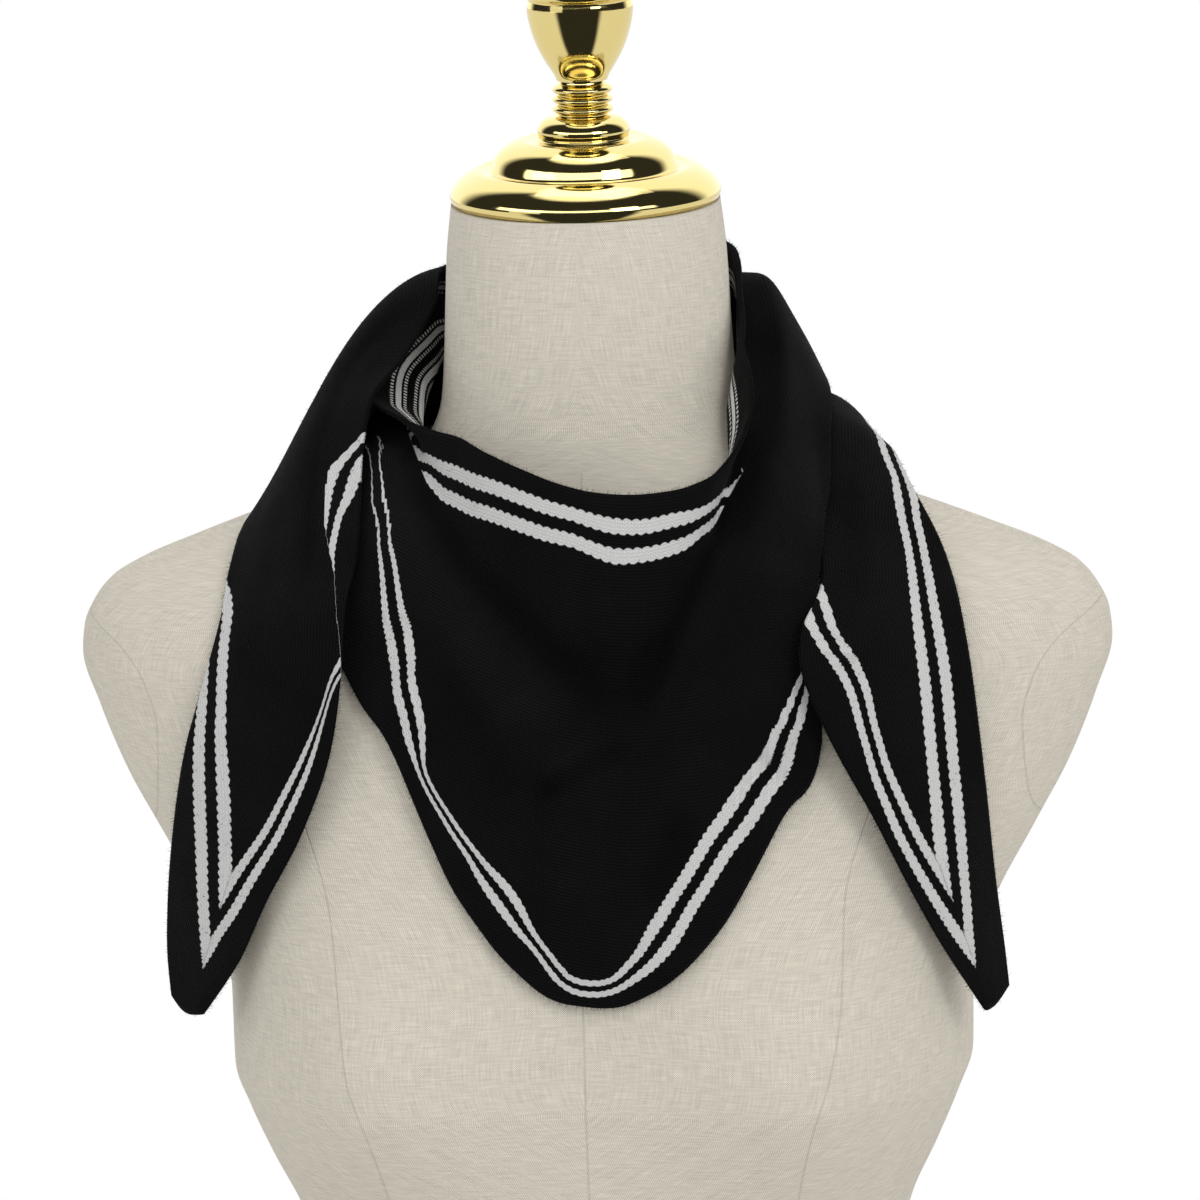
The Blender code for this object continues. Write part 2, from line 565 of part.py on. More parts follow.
def make_scarf(material, collection):
    points, faces, _ = form_mesh(FORM_SEGMENTS, FORM_RING_SPACING)
    form = Underlayer(points, faces, KNIT_THICKNESS / 2 + REST_GAP, FORM_REACH)
    left, right = COLLAR_CUTS["left"], COLLAR_CUTS["right"]

    # The lower layer of the first turn settles in one piece, so that the cut edges match.
    under_angles = np.concatenate([
        np.linspace(-180, left, WRAP_LEFT_SECTIONS), np.linspace(left, right, PANEL_SECTIONS)[1:],
    ])
    under = settle(collar_grid(under_angles, COLLAR_ROWS), form)
    cut = WRAP_LEFT_SECTIONS - 1
    wrap_left, panel = under[:cut + 1].copy(), under[cut:].copy()
    wrap_left[-1] -= seam_step(under[cut - 1], under[cut])
    panel[0] += seam_step(under[cut - 1], under[cut])
    right_step = seam_step(under[-2], under[-1])

    right_marks = np.array(END_RIGHT_SECTIONS, float)
    end_right, _ = strip_grid(right_marks, *END_RIGHT_GRID)
    end_right = settle(end_right, form, [as_layer(panel)])

    over_angles = right + (180 - right) * np.array(WRAP_RIGHT_SHARES)
    wrap_right = collar_grid(over_angles, COLLAR_ROWS)
    wrap_right[0] = panel[-1] + right_step
    wrap_right = settle(wrap_right, form, [as_layer(end_right, REST_GAP)], held=0)
    panel[-1] -= right_step

    left_marks = np.array([row[:4] for row in END_LEFT_SECTIONS], float)
    depth_table = np.column_stack([stations_of(left_marks), [row[4] for row in END_LEFT_SECTIONS]])
    end_left, at = strip_grid(left_marks, *END_LEFT_GRID, END_LEFT_START)
    end_left = lower_pleat(end_left, smooth(depth_table, at))
    end_left = settle(end_left, form, [as_layer(bridge_tuck(wrap_left)), as_layer(bridge_tuck(panel))])

    make_cloth("scarf_front_panel", panel, material, collection)
    make_cloth("scarf_wrap_left", wrap_left, material, collection)
    make_cloth("scarf_wrap_right", wrap_right, material, collection)
    make_cloth("scarf_end_left", end_left, material, collection)
    make_cloth("scarf_end_right", end_right, material, collection)


def seam_step(before, section):
    """Half the seam gap, square to the cut, as a step along the strip at each point of a cut section."""
    way = section - before
    way /= np.linalg.norm(way, axis=1, keepdims=True)
    cut = np.gradient(section, axis=0)
    cut /= np.linalg.norm(cut, axis=1, keepdims=True)
    return SEAM_GAP / 2 * way / np.linalg.norm(np.cross(way, cut), axis=1, keepdims=True)


def main():
    clear_scene()
    collection = bpy.data.collections.new(COLLECTION)
    bpy.context.scene.collection.children.link(collection)
    make_dress_form(make_material("linen"), collection)
    make_finial(make_material("polished gold"), collection)
    make_scarf(make_material("black knit"), collection)


main()
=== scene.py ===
# Knitted triangle scarf wound once round the neck of a limbless dress form.
# Tables are in millimetres; an angle round the neck is 0 at the front and grows towards +X.
import json
import math
import bpy
import numpy as np
from mathutils import Matrix, Vector
from mathutils.bvhtree import BVHTree

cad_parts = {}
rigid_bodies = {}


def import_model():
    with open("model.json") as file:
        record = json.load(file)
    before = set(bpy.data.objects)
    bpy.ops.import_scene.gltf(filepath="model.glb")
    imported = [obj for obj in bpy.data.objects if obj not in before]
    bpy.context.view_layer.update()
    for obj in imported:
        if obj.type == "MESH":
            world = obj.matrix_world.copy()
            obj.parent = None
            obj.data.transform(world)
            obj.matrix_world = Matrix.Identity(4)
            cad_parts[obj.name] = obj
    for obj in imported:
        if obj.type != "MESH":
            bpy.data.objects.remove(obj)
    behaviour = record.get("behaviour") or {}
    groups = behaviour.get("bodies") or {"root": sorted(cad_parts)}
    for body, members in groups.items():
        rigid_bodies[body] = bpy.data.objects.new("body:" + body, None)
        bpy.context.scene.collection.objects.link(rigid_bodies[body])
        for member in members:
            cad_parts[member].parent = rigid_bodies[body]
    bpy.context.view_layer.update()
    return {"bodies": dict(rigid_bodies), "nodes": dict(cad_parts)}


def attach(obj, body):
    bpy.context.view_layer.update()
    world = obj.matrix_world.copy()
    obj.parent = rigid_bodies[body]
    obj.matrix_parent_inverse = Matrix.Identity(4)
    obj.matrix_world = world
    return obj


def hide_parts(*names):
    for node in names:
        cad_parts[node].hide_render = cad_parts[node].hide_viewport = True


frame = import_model()
mm = 0.001
root = list(frame["bodies"])[0]
print("frame loaded:", len(frame["nodes"]), "nodes")


# Reading tables and grids

bodyMiddle = np.array((0, 0, 350))


def smoothRead(table, at):
    # columns read at new values of the first column, smooth and without overshoot
    rows = np.array(table, float)
    x, y = rows[:, 0], rows[:, 1:]
    step = np.diff(x)
    slope = np.diff(y, axis=0) / step[:, None]
    tangent = np.zeros_like(y)
    tangent[0], tangent[-1] = slope[0], slope[-1]
    before, after = slope[:-1], slope[1:]
    weightA = (2 * step[1:] + step[:-1])[:, None]
    weightB = (step[1:] + 2 * step[:-1])[:, None]
    same = before * after > 0
    safe = np.where(same, weightA * after + weightB * before, 1.0)
    tangent[1:-1] = np.where(same, (weightA + weightB) * before * after / safe, 0.0)
    at = np.atleast_1d(np.asarray(at, float))
    i = np.clip(np.searchsorted(x, at, side="right") - 1, 0, len(step) - 1)
    t = ((at - x[i]) / step[i])[:, None]
    span = step[i][:, None]
    return ((1 + 2 * t) * (1 - t) ** 2 * y[i] + t * (1 - t) ** 2 * span * tangent[i]
            + t * t * (3 - 2 * t) * y[i + 1] + t * t * (t - 1) * span * tangent[i + 1])


def splineRead(values, at):
    # values at whole numbers 0, 1, 2 ... read between them on a natural cubic spline
    values = np.asarray(values, float)
    count = len(values)
    system = np.eye(count)
    right = np.zeros_like(values)
    for k in range(1, count - 1):
        system[k, k - 1:k + 2] = (1, 4, 1)
        right[k] = 6 * (values[k - 1] - 2 * values[k] + values[k + 1])
    bend = np.linalg.solve(system, right.reshape(count, -1)).reshape(values.shape)
    i = np.clip(np.floor(at).astype(int), 0, count - 2)
    t = np.asarray(at) - i
    shape = (len(t),) + (1,) * (values.ndim - 1)
    t = t.reshape(shape)
    return ((1 - t) * values[i] + t * values[i + 1]
            + ((1 - t) ** 3 - (1 - t)) * bend[i] / 6 + (t ** 3 - t) * bend[i + 1] / 6)


def across(marks, shares, count):
    at = np.linspace(0, 1, count)
    return np.array([smoothRead(np.column_stack([shares, section]), at) for section in marks])


def smoothStep(t):
    return t * t * (3 - 2 * t)


def runOf(line):
    # how far along a line each of its points lies
    return np.concatenate([[0], np.cumsum(np.linalg.norm(np.diff(line, axis=0), axis=1))])


def runAcross(grid):
    # the same for each section of a grid, over its folds
    lengths = np.linalg.norm(np.diff(grid, axis=1), axis=2)
    return np.concatenate([np.zeros((len(grid), 1)), np.cumsum(lengths, axis=1)], axis=1)


def gridCross(grid):
    return np.cross(np.gradient(grid, axis=0), np.gradient(grid, axis=1))


def gridNormals(grid):
    normals = gridCross(grid)
    normals /= np.maximum(np.linalg.norm(normals, axis=2, keepdims=True), 1e-9)
    return -normals if np.sum(normals * (grid - bodyMiddle)) < 0 else normals


def gridFaces(grid):
    sections, rows, _ = grid.shape
    outwards = np.sum(gridCross(grid) * (grid - bodyMiddle)) > 0
    s, r = np.meshgrid(np.arange(sections - 1), np.arange(rows - 1), indexing="ij")
    a = (s * rows + r).ravel()
    quads = np.stack([a, a + rows, a + rows + 1, a + 1], axis=1)
    return (quads if outwards else quads[:, ::-1]).tolist()


def newMesh(name, points, faces):
    mesh = bpy.data.meshes.new(name)
    mesh.from_pydata((np.asarray(points, float) * mm).tolist(), [], faces)
    mesh.update()
    piece = bpy.data.objects.new(name, mesh)
    bpy.context.scene.collection.objects.link(piece)
    return piece


def addAttribute(piece, name, values):
    layer = piece.data.attributes.new(name, "FLOAT", "POINT")
    layer.data.foreach_set("value", np.asarray(values, np.float32).ravel())


def selectOnly(piece):
    if bpy.context.mode != "OBJECT":
        bpy.ops.object.mode_set(mode="OBJECT")
    bpy.ops.object.select_all(action="DESELECT")
    bpy.context.view_layer.objects.active = piece
    piece.select_set(True)


# Shader nodes

class Value:
    # an output socket inside a shader, written on with + - * / and abs

    def __init__(self, socket):
        self.socket = socket
        self.tree = socket.id_data

    def __add__(self, other):
        return sums("ADD", self, other)

    def __sub__(self, other):
        return sums("SUBTRACT", self, other)

    def __rsub__(self, other):
        return sums("SUBTRACT", other, self)

    def __mul__(self, other):
        return sums("MULTIPLY", self, other)

    def __truediv__(self, other):
        return sums("DIVIDE", self, other)

    def __abs__(self):
        return sums("ABSOLUTE", self)


def feed(socket, value):
    # joins a value to an input socket, or sets a plain one on it
    if isinstance(value, Value):
        socket.id_data.links.new(value.socket, socket)
    else:
        socket.default_value = value


def setInputs(node, values):
    for name, value in values.items():
        feed(node.inputs[name], value)
    return node


def addNode(tree, kind, **values):
    node = tree.nodes.new(kind)
    for name, value in values.items():
        setattr(node, name, value)
    return node


def outputOf(tree, kind, output, **values):
    return Value(addNode(tree, kind, **values).outputs[output])


def readAttribute(tree, name):
    return outputOf(tree, "ShaderNodeAttribute", "Fac", attribute_name=name)


def sums(operation, *parts):
    # one step of arithmetic on values and plain numbers
    tree = next(part.tree for part in parts if isinstance(part, Value))
    node = addNode(tree, "ShaderNodeMath", operation=operation)
    for socket, part in zip(node.inputs, parts):
        feed(socket, part)
    return Value(node.outputs[0])


def ramp(value, low, high, toLow=0.0, toHigh=1.0, kind="SMOOTHSTEP"):
    node = addNode(value.tree, "ShaderNodeMapRange", interpolation_type=kind)
    setInputs(node, {"Value": value, "From Min": low, "From Max": high, "To Min": toLow, "To Max": toHigh})
    return Value(node.outputs["Result"])


def mixColors(tree, share, first, second, kind="MIX"):
    node = addNode(tree, "ShaderNodeMix", data_type="RGBA", blend_type=kind)
    feed(node.inputs["Factor"], share)
    for socket, color in zip([s for s in node.inputs if s.type == "RGBA"], (first, second)):
        feed(socket, color)
    return Value([s for s in node.outputs if s.type == "RGBA"][0])


def shadeOf(color, shade):
    # a plain colour made lighter or darker by a value
    grey = addNode(shade.tree, "ShaderNodeCombineColor")
    for socket in grey.inputs:
        feed(socket, shade)
    return mixColors(shade.tree, 1.0, (*color, 1), Value(grey.outputs[0]), "MULTIPLY")


def noiseOf(vector, scale, detail=2.0, roughness=0.5):
    node = addNode(vector.tree, "ShaderNodeTexNoise")
    setInputs(node, {"Vector": vector, "Scale": scale, "Detail": detail, "Roughness": roughness})
    return Value(node.outputs[0])


def partsOf(vector):
    node = addNode(vector.tree, "ShaderNodeSeparateXYZ")
    feed(node.inputs[0], vector)
    return [Value(socket) for socket in node.outputs]


def bearingOf(x, y):
    # the angle round the middle, 0 in front
    return sums("ARCTAN2", x, y * -1.0)


def newMaterial(name):
    material = bpy.data.materials.new(name)
    material.use_nodes = True
    tree = material.node_tree
    return material, tree, tree.nodes["Principled BSDF"]


def bumpInto(shader, height, strength, distance):
    bump = addNode(height.tree, "ShaderNodeBump")
    setInputs(bump, {"Strength": strength, "Distance": distance, "Height": height})
    feed(shader.inputs["Normal"], Value(bump.outputs["Normal"]))


def newGroup(name, inputs, outputs):
    group = bpy.data.node_groups.new(name, "ShaderNodeTree")
    for socketName, value in inputs.items():
        socket = group.interface.new_socket(socketName, in_out="INPUT", socket_type="NodeSocketFloat")
        socket.default_value = value
    for socketName in outputs:
        group.interface.new_socket(socketName, in_out="OUTPUT", socket_type="NodeSocketFloat")
    given = {s.name: Value(s) for s in group.nodes.new("NodeGroupInput").outputs}
    return group, given, group.nodes.new("NodeGroupOutput")


def useGroup(tree, group, values):
    node = setInputs(addNode(tree, "ShaderNodeGroup", node_tree=group), values)
    return {s.name: Value(s) for s in node.outputs}


pattern = {
    "first": 12.0, "second": 21.5, "halfWidth": 2.45, "tooth": 0.35, "toothPitch": 3.25, "toothLean": 0.8,
    "soft": 0.22, "loopWidth": 1.6, "loopHeight": 1.2, "slant": 0.9,
}


def makeKnitLoops():
    # rows of V-shaped knitted loops; Along and Across are in mm
    group, given, out = newGroup(
        "knitLoops",
        {"Along": 0, "Across": 0, "Loop Width": pattern["loopWidth"], "Loop Height": pattern["loopHeight"],
         "Slant": pattern["slant"]},
        ["Height"])
    side = abs(sums("FRACT", given["Along"] / given["Loop Width"]) - 0.5)
    row = given["Across"] / given["Loop Height"] + side * given["Slant"]
    # 0 in the middle of a loop and between two, 1 on a leg
    leg = sums("SINE", side * (2 * math.pi))
    wave = sums("COSINE", row * (2 * math.pi)) * 0.5 + 0.5
    setInputs(out, {"Height": sums("POWER", wave, 0.7) * (leg * 0.75 + 0.25)})
    return group


def makeEdgeStripes():
    # two stripes along an edge with toothed sides; Distance and Along are in mm
    group, given, out = newGroup(
        "edgeStripes",
        {"Distance": 0, "Along": 0, "First": pattern["first"], "Second": pattern["second"],
         "Half Width": pattern["halfWidth"], "Tooth": pattern["tooth"], "Tooth Pitch": pattern["toothPitch"],
         "Soft": pattern["soft"]},
        ["Mask", "Off Middle"])
    toFirst = given["Distance"] - given["First"]
    toSecond = given["Distance"] - given["Second"]
    nearer = sums("LESS_THAN", abs(toFirst), abs(toSecond))
    off = nearer * toFirst + (1.0 - nearer) * toSecond
    phase = (given["Along"] + sums("SIGN", off) * pattern["toothLean"]) / given["Tooth Pitch"]
    tooth = abs(sums("SINE", phase * math.pi))
    half = given["Half Width"] + (tooth * 2.0 - 1.3) * given["Tooth"]
    mask = ramp(abs(off) - half, given["Soft"] * -1.0, given["Soft"], 1.0, 0.0)
    setInputs(out, {"Mask": mask, "Off Middle": off})
    return group


knitLoops = makeKnitLoops()
edgeStripes = makeEdgeStripes()
print("shared shader groups ready")


# Dress form

dressForm = {
    "segments": 288, "ringSpacing": 2.6, "neckTop": 537.0, "tiltFrom": 495.0, "neckTilt": 0.105,
    "squareness": 2.25, "linen": (0.79, 0.736, 0.628), "thread": 0.8, "seamWidth": 0.55, "seamTop": 0.44,
}

# height, half width, depth to the front, depth to the back
formSections = (
    (0, 124, 92, 86), (35, 114, 86, 77), (75, 106, 83, 68), (115, 107.5, 87, 64), (157, 117.5, 95, 66),
    (180, 128, 101, 70), (200, 136.5, 105, 74), (213, 141, 107, 77), (242, 141.5, 107, 82),
    (270, 150, 105, 86), (300, 166, 101, 88), (325, 179.5, 96, 88), (350, 189.5, 90, 86),
    (370, 195.5, 83.5, 82.5), (380, 194.5, 79.5, 79.5), (389, 190.5, 75.5, 77), (397, 184, 72, 74.5),
    (404, 172, 68.5, 72.5), (412, 152, 65, 70.5), (418, 136, 62.5, 69), (424, 119, 60, 67.5),
    (430, 101, 58, 66), (437, 82, 56, 64.5), (444, 68.5, 54.5, 62.5), (452, 60, 53.5, 60.5),
    (463, 56, 52.5, 57.5), (480, 54.5, 52, 54.5), (500, 53.5, 52, 52.5), (519, 52.5, 51.5, 51.5),
    (537, 50.5, 50, 50.5),
)

bust = {"apexX": 86, "apexZ": 222, "spreadX": 33, "spreadZ": 36, "height": 30}

# height, then the distance of the seam from the middle on each side of the front
princessSeams = (
    (0, 60, 61), (120, 66, 68), (181, 74.8, 77.8), (204, 79.7, 83), (226, 86.4, 90), (250, 89.4, 94),
    (285, 94, 95.5), (330, 108, 109), (380, 118, 120), (400, 121, 122), (537, 122, 123),
)

# height, distance of the armhole seam from the middle
armholeSeam = (
    (0, 260), (250, 240), (285, 196), (300, 172), (318, 163), (347, 161), (356, 163), (366, 167.5),
    (375, 175), (383, 187), (389, 197), (400, 230), (537, 260),
)


def makeFormMesh():
    levels = []
    for low, high in zip(formSections, formSections[1:]):
        parts = max(1, math.ceil(math.hypot(high[0] - low[0], high[1] - low[1]) / dressForm["ringSpacing"]))
        levels += [low[0] + (high[0] - low[0]) * k / parts for k in range(parts)]
    levels = np.array(levels + [dressForm["neckTop"]])
    sizes = smoothRead(formSections, levels)
    turn = np.linspace(0, 2 * math.pi, dressForm["segments"], endpoint=False)
    sine, cosine = np.sin(turn)[None, :], np.cos(turn)[None, :]
    power = 2 / dressForm["squareness"]
    x = sizes[:, :1] * np.sign(sine) * np.abs(sine) ** power
    depth = np.where(cosine > 0, sizes[:, 1:2], sizes[:, 2:3])
    y = -depth * np.sign(cosine) * np.abs(cosine) ** power
    z = levels[:, None] + 0 * x
    sideways = ((np.abs(x) - bust["apexX"]) / bust["spreadX"]) ** 2
    upwards = ((z - bust["apexZ"]) / bust["spreadZ"]) ** 2
    y = y - bust["height"] * np.exp(-(sideways + upwards) / 2) * np.clip(3 * cosine, 0, 1)
    tilt = np.clip((z - dressForm["tiltFrom"]) / (dressForm["neckTop"] - dressForm["tiltFrom"]), 0, 1)
    z = z + dressForm["neckTilt"] * y * smoothStep(tilt)
    points = np.stack([x, y, z], axis=2)
    rings, segments = len(levels), dressForm["segments"]
    ring, k = np.meshgrid(np.arange(rings - 1), np.arange(segments), indexing="ij")
    a, b = ring * segments + k, ring * segments + (k + 1) % segments
    faces = np.stack([a, b, b + segments, a + segments], axis=2).reshape(-1, 4).tolist()
    faces += [list(range(segments - 1, -1, -1)), [(rings - 1) * segments + k for k in range(segments)]]
    return points, faces


formPoints, formFaces = makeFormMesh()
form = newMesh("linenForm", formPoints.reshape(-1, 3), formFaces)
formX, formZ = formPoints[:, :, 0], formPoints[:, :, 2]
seams = smoothRead(princessSeams, formZ.ravel()).reshape(*formX.shape, 2)
addAttribute(form, "princess", np.abs(formX) - np.where(formX > 0, seams[:, :, 1], seams[:, :, 0]))
addAttribute(form, "armhole", np.abs(formX) - smoothRead(armholeSeam, formZ.ravel()).reshape(formX.shape))
segments = dressForm["segments"]
ringRun = runAcross(np.concatenate([formPoints, formPoints[:, :1]], axis=1))
ringRun = ringRun - ringRun[:, segments // 2:segments // 2 + 1]
riseRun = runOf(formPoints[:, 0])
uvLayer = form.data.uv_layers.new(name="weave")
uvs = []
for face in form.data.polygons:
    rings = [v // segments for v in face.vertices]
    steps = [v % segments for v in face.vertices]
    wraps = max(steps) - min(steps) > segments // 2 and len(steps) == 4
    for ring, step in zip(rings, steps):
        column = segments if wraps and step == 0 else step
        uvs += [ringRun[ring, column] * mm, riseRun[ring] * mm]
uvLayer.data.foreach_set("uv", uvs)
form.data.shade_smooth()
form.data.set_sharp_from_angle(angle=math.radians(50))


def makeLinen():
    material, tree, shader = newMaterial("linen")
    u, v, _ = partsOf(outputOf(tree, "ShaderNodeUVMap", "UV", uv_map="weave"))
    place = outputOf(tree, "ShaderNodeTexCoord", "Object")
    x, y, z = partsOf(place)
    pitch = dressForm["thread"] * mm

    def threads(along, other, seedShift):
        # cords of one direction, each a little thicker or thinner than its neighbours
        stretched = addNode(tree, "ShaderNodeCombineXYZ")
        setInputs(stretched, {"X": along * (1 / pitch), "Y": other * (0.06 / pitch) + seedShift})
        slub = noiseOf(Value(stretched.outputs[0]), 1.3, 2.0, 0.6)
        return sums("SINE", along * (2 * math.pi / pitch)), slub

    warpWave, warpSlub = threads(u, v, 0.0)
    weftWave, weftSlub = threads(v, u, 7.3)
    check = warpWave * weftWave
    slubs = warpSlub + weftSlub
    # seams: a thin groove with slightly raised lips; only the side seam goes on up the neck
    above = (1.0 - sums("LESS_THAN", z, dressForm["seamTop"])) * 50.0
    princess, armhole = (abs(readAttribute(tree, name)) + above for name in ("princess", "armhole"))
    middle = abs(x) * 1000.0 + above
    seam = sums("MINIMUM", sums("MINIMUM", princess, armhole), sums("MINIMUM", middle, abs(y) * 1000.0))
    groove = ramp(seam, 0.1, dressForm["seamWidth"], 1.0, 0.0)
    lip = ramp(seam, dressForm["seamWidth"], 4.0, 1.0, 0.0)
    broad = noiseOf(place, 9.0, 2.0)
    # the linen's tone: threads lighter and darker at random, painted shade in the weave's low cells, wide
    # random patches, and a darker seam groove
    tone = (slubs * 0.46 + 0.54) * ramp(check, -1.0, 1.0, 0.7, 1.22, "LINEAR")
    tone = tone * ramp(broad, 0.3, 0.7, 0.985, 1.015, "LINEAR")
    tone = tone * ramp(groove, 0.0, 1.0, 1.0, 0.88, "LINEAR")
    color = shadeOf(dressForm["linen"], tone)
    setInputs(shader, {"Base Color": color, "Roughness": 0.88, "Specular IOR Level": 0.25})
    height = check * 0.25 + 0.5 + slubs * 0.8
    bumpInto(shader, height + (groove * -5.0 + lip * 1.2), 0.45, 0.00012)
    return material


form.data.materials.append(makeLinen())
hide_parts("dress_form")
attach(form, root)
print("dress form made:", len(form.data.polygons), "faces")


# Turned gold pieces

finial = {
    "around": 128, "gold": (0.85, 0.71, 0.31), "deepGold": (0.79, 0.64, 0.25), "gap": 0.45, "stepGap": 0.3,
    "tilt": math.atan(dressForm["neckTilt"]), "stemRadius": 9.2, "beadSwell": 2.1, "knobRadius": 13.5,
    "knobNeck": 6.5, "knobFoot": 6.6,
}
# radius and height above the piece's own foot, from the foot upwards

capOutline = (
    (50.2, 0), (51, 2.2), (50.4, 4.8), (47.8, 8.2), (43.8, 11), (39.8, 12.3), (36.6, 11.8), (35, 12.8),
    (33.8, 16.2), (30.8, 19.8), (26.6, 22.2), (22.6, 23.1), (19, 22.8), (17, 23.6), (17.4, 26), (16.4, 28.8),
    (13.6, 31), (10, 31.8),
)
vaseOutline = (
    (9.6, 0), (10.4, 2), (12.8, 5.8), (16.4, 12.6), (19, 20.6), (19.9, 27.4), (19.4, 30.4), (20.6, 31.8),
    (20.8, 34.4), (19, 37.2), (16, 39),
)

# foot and height of each bead
stemBeads = ((0.3, 3.6), (4.1, 3.4), (7.7, 3.8))


def stemOutline():
    outline = [(finial["stemRadius"], 0)]
    for foot, height in stemBeads:
        for k in range(0, 9):
            bulge = math.sin(math.pi * k / 8) ** 0.7
            outline.append((finial["stemRadius"] + finial["beadSwell"] * bulge, foot + height * k / 8))
    return outline + [(8.7, 12), (8.6, 12.8)]


def knobOutline():
    radius, neck = finial["knobRadius"], finial["knobNeck"]
    outline = [(11.5, 0), (11.6, 1.6), (11.3, 3.2), (7.2, 3.9), (neck, 5.2), (neck, 6.4)]
    sink = math.asin(neck / radius)
    centre = finial["knobFoot"] + radius * math.cos(sink)
    for k in range(1, 25):
        angle = (math.pi - sink) * (1 - k / 25)
        outline.append((radius * math.sin(angle), centre + radius * math.cos(angle)))
    return outline


def softened(outline, steps):
    # a rounder outline through the same points
    points = np.array(outline, float)
    return splineRead(points, np.linspace(0, len(points) - 1, (len(points) - 1) * steps + 1))


def turnPiece(name, outline, foot, node):
    # a disc drawn upwards ring by ring, as on a lathe
    bpy.ops.object.select_all(action="DESELECT")
    bpy.ops.mesh.primitive_circle_add(vertices=finial["around"], radius=outline[0][0] * mm, fill_type="NGON",
                                      location=(0, 0, 0))
    piece = bpy.context.object
    piece.name = name
    bpy.ops.object.mode_set(mode="EDIT")
    bpy.ops.mesh.select_all(action="SELECT")
    radius, height = outline[0]
    for nextRadius, nextHeight in outline[1:]:
        growth = nextRadius / radius
        bpy.ops.mesh.extrude_region_move(TRANSFORM_OT_translate={"value": (0, 0, (nextHeight - height) * mm)})
        bpy.ops.transform.resize(value=(growth, growth, 1), center_override=(0, 0, nextHeight * mm))
        radius, height = nextRadius, nextHeight
    bpy.ops.mesh.inset(thickness=radius * mm * 0.6)
    bpy.ops.mesh.select_all(action="SELECT")
    bpy.ops.mesh.remove_doubles(threshold=1e-6)
    bpy.ops.mesh.normals_make_consistent(inside=False)
    bpy.ops.object.mode_set(mode="OBJECT")
    piece.data.transform(Matrix.Rotation(finial["tilt"], 4, "X"))
    piece.data.transform(Matrix.Translation(Vector(foot) * mm))
    piece.data.shade_smooth()
    piece.data.set_sharp_from_angle(angle=math.radians(38))
    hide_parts(node)
    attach(piece, root)
    return piece


def makeGold():
    material, tree, shader = newMaterial("polished gold plate")
    place = outputOf(tree, "ShaderNodeTexCoord", "Object")
    broad = noiseOf(place, 60.0, 3.0)
    stretched = setInputs(addNode(tree, "ShaderNodeMapping"), {"Scale": (1, 1, 26), "Vector": place})
    rings = noiseOf(Value(stretched.outputs[0]), 90.0, 2.0)
    color = mixColors(tree, broad, (*finial["gold"], 1), (*finial["deepGold"], 1))
    roughness = ramp(broad, 0.35, 0.75, 0.05, 0.11, "LINEAR")
    setInputs(shader, {"Base Color": color, "Metallic": 1.0, "Roughness": roughness})
    bumpInto(shader, rings, 0.03, 0.0002)
    return material


gold = makeGold()
tiltAxis = np.array([0, -math.sin(finial["tilt"]), math.cos(finial["tilt"])])
foot = np.array([0, 0, dressForm["neckTop"]]) + tiltAxis * finial["gap"]
# name, outline, rise to the foot of the next piece, node
turnedPieces = (
    ("goldCap", softened(capOutline, 4), 31.8, "neck_cap"),
    ("goldStem", np.array(stemOutline()), 12.8, "finial_stem"),
    ("goldVase", softened(vaseOutline, 5), 39, "finial_vase"),
    ("goldKnob", np.array(knobOutline()), 0, "finial_knob"),
)
for name, outline, rise, node in turnedPieces:
    turned = turnPiece(name, outline.tolist(), foot, node)
    turned.data.materials.append(gold)
    foot = foot + tiltAxis * (rise + finial["stepGap"])
print("gold cap and finial turned")


# Scarf: the form it takes

knit = {
    "thickness": 2.2, "restGap": 0.45, "layerGap": 1.0, "foldGap": 0.5, "rows": 27, "easePasses": 2,
    "rounds": 16, "ease": 0.25, "ownRun": 3.6, "edgePush": 1.5, "besideShare": 0.6, "tuckWidth": 3.4,
    "bridgeShare": 0.6, "touching": 0.05, "formReach": 26, "layerReach": 9, "leftSections": 15,
    "frontSections": 30, "endRightGrid": (27, 11), "endLeftGrid": (34, 14),
}

tuckShares = (0.0, 0.17, 0.23, 0.36, 0.5, 0.7, 1.0)
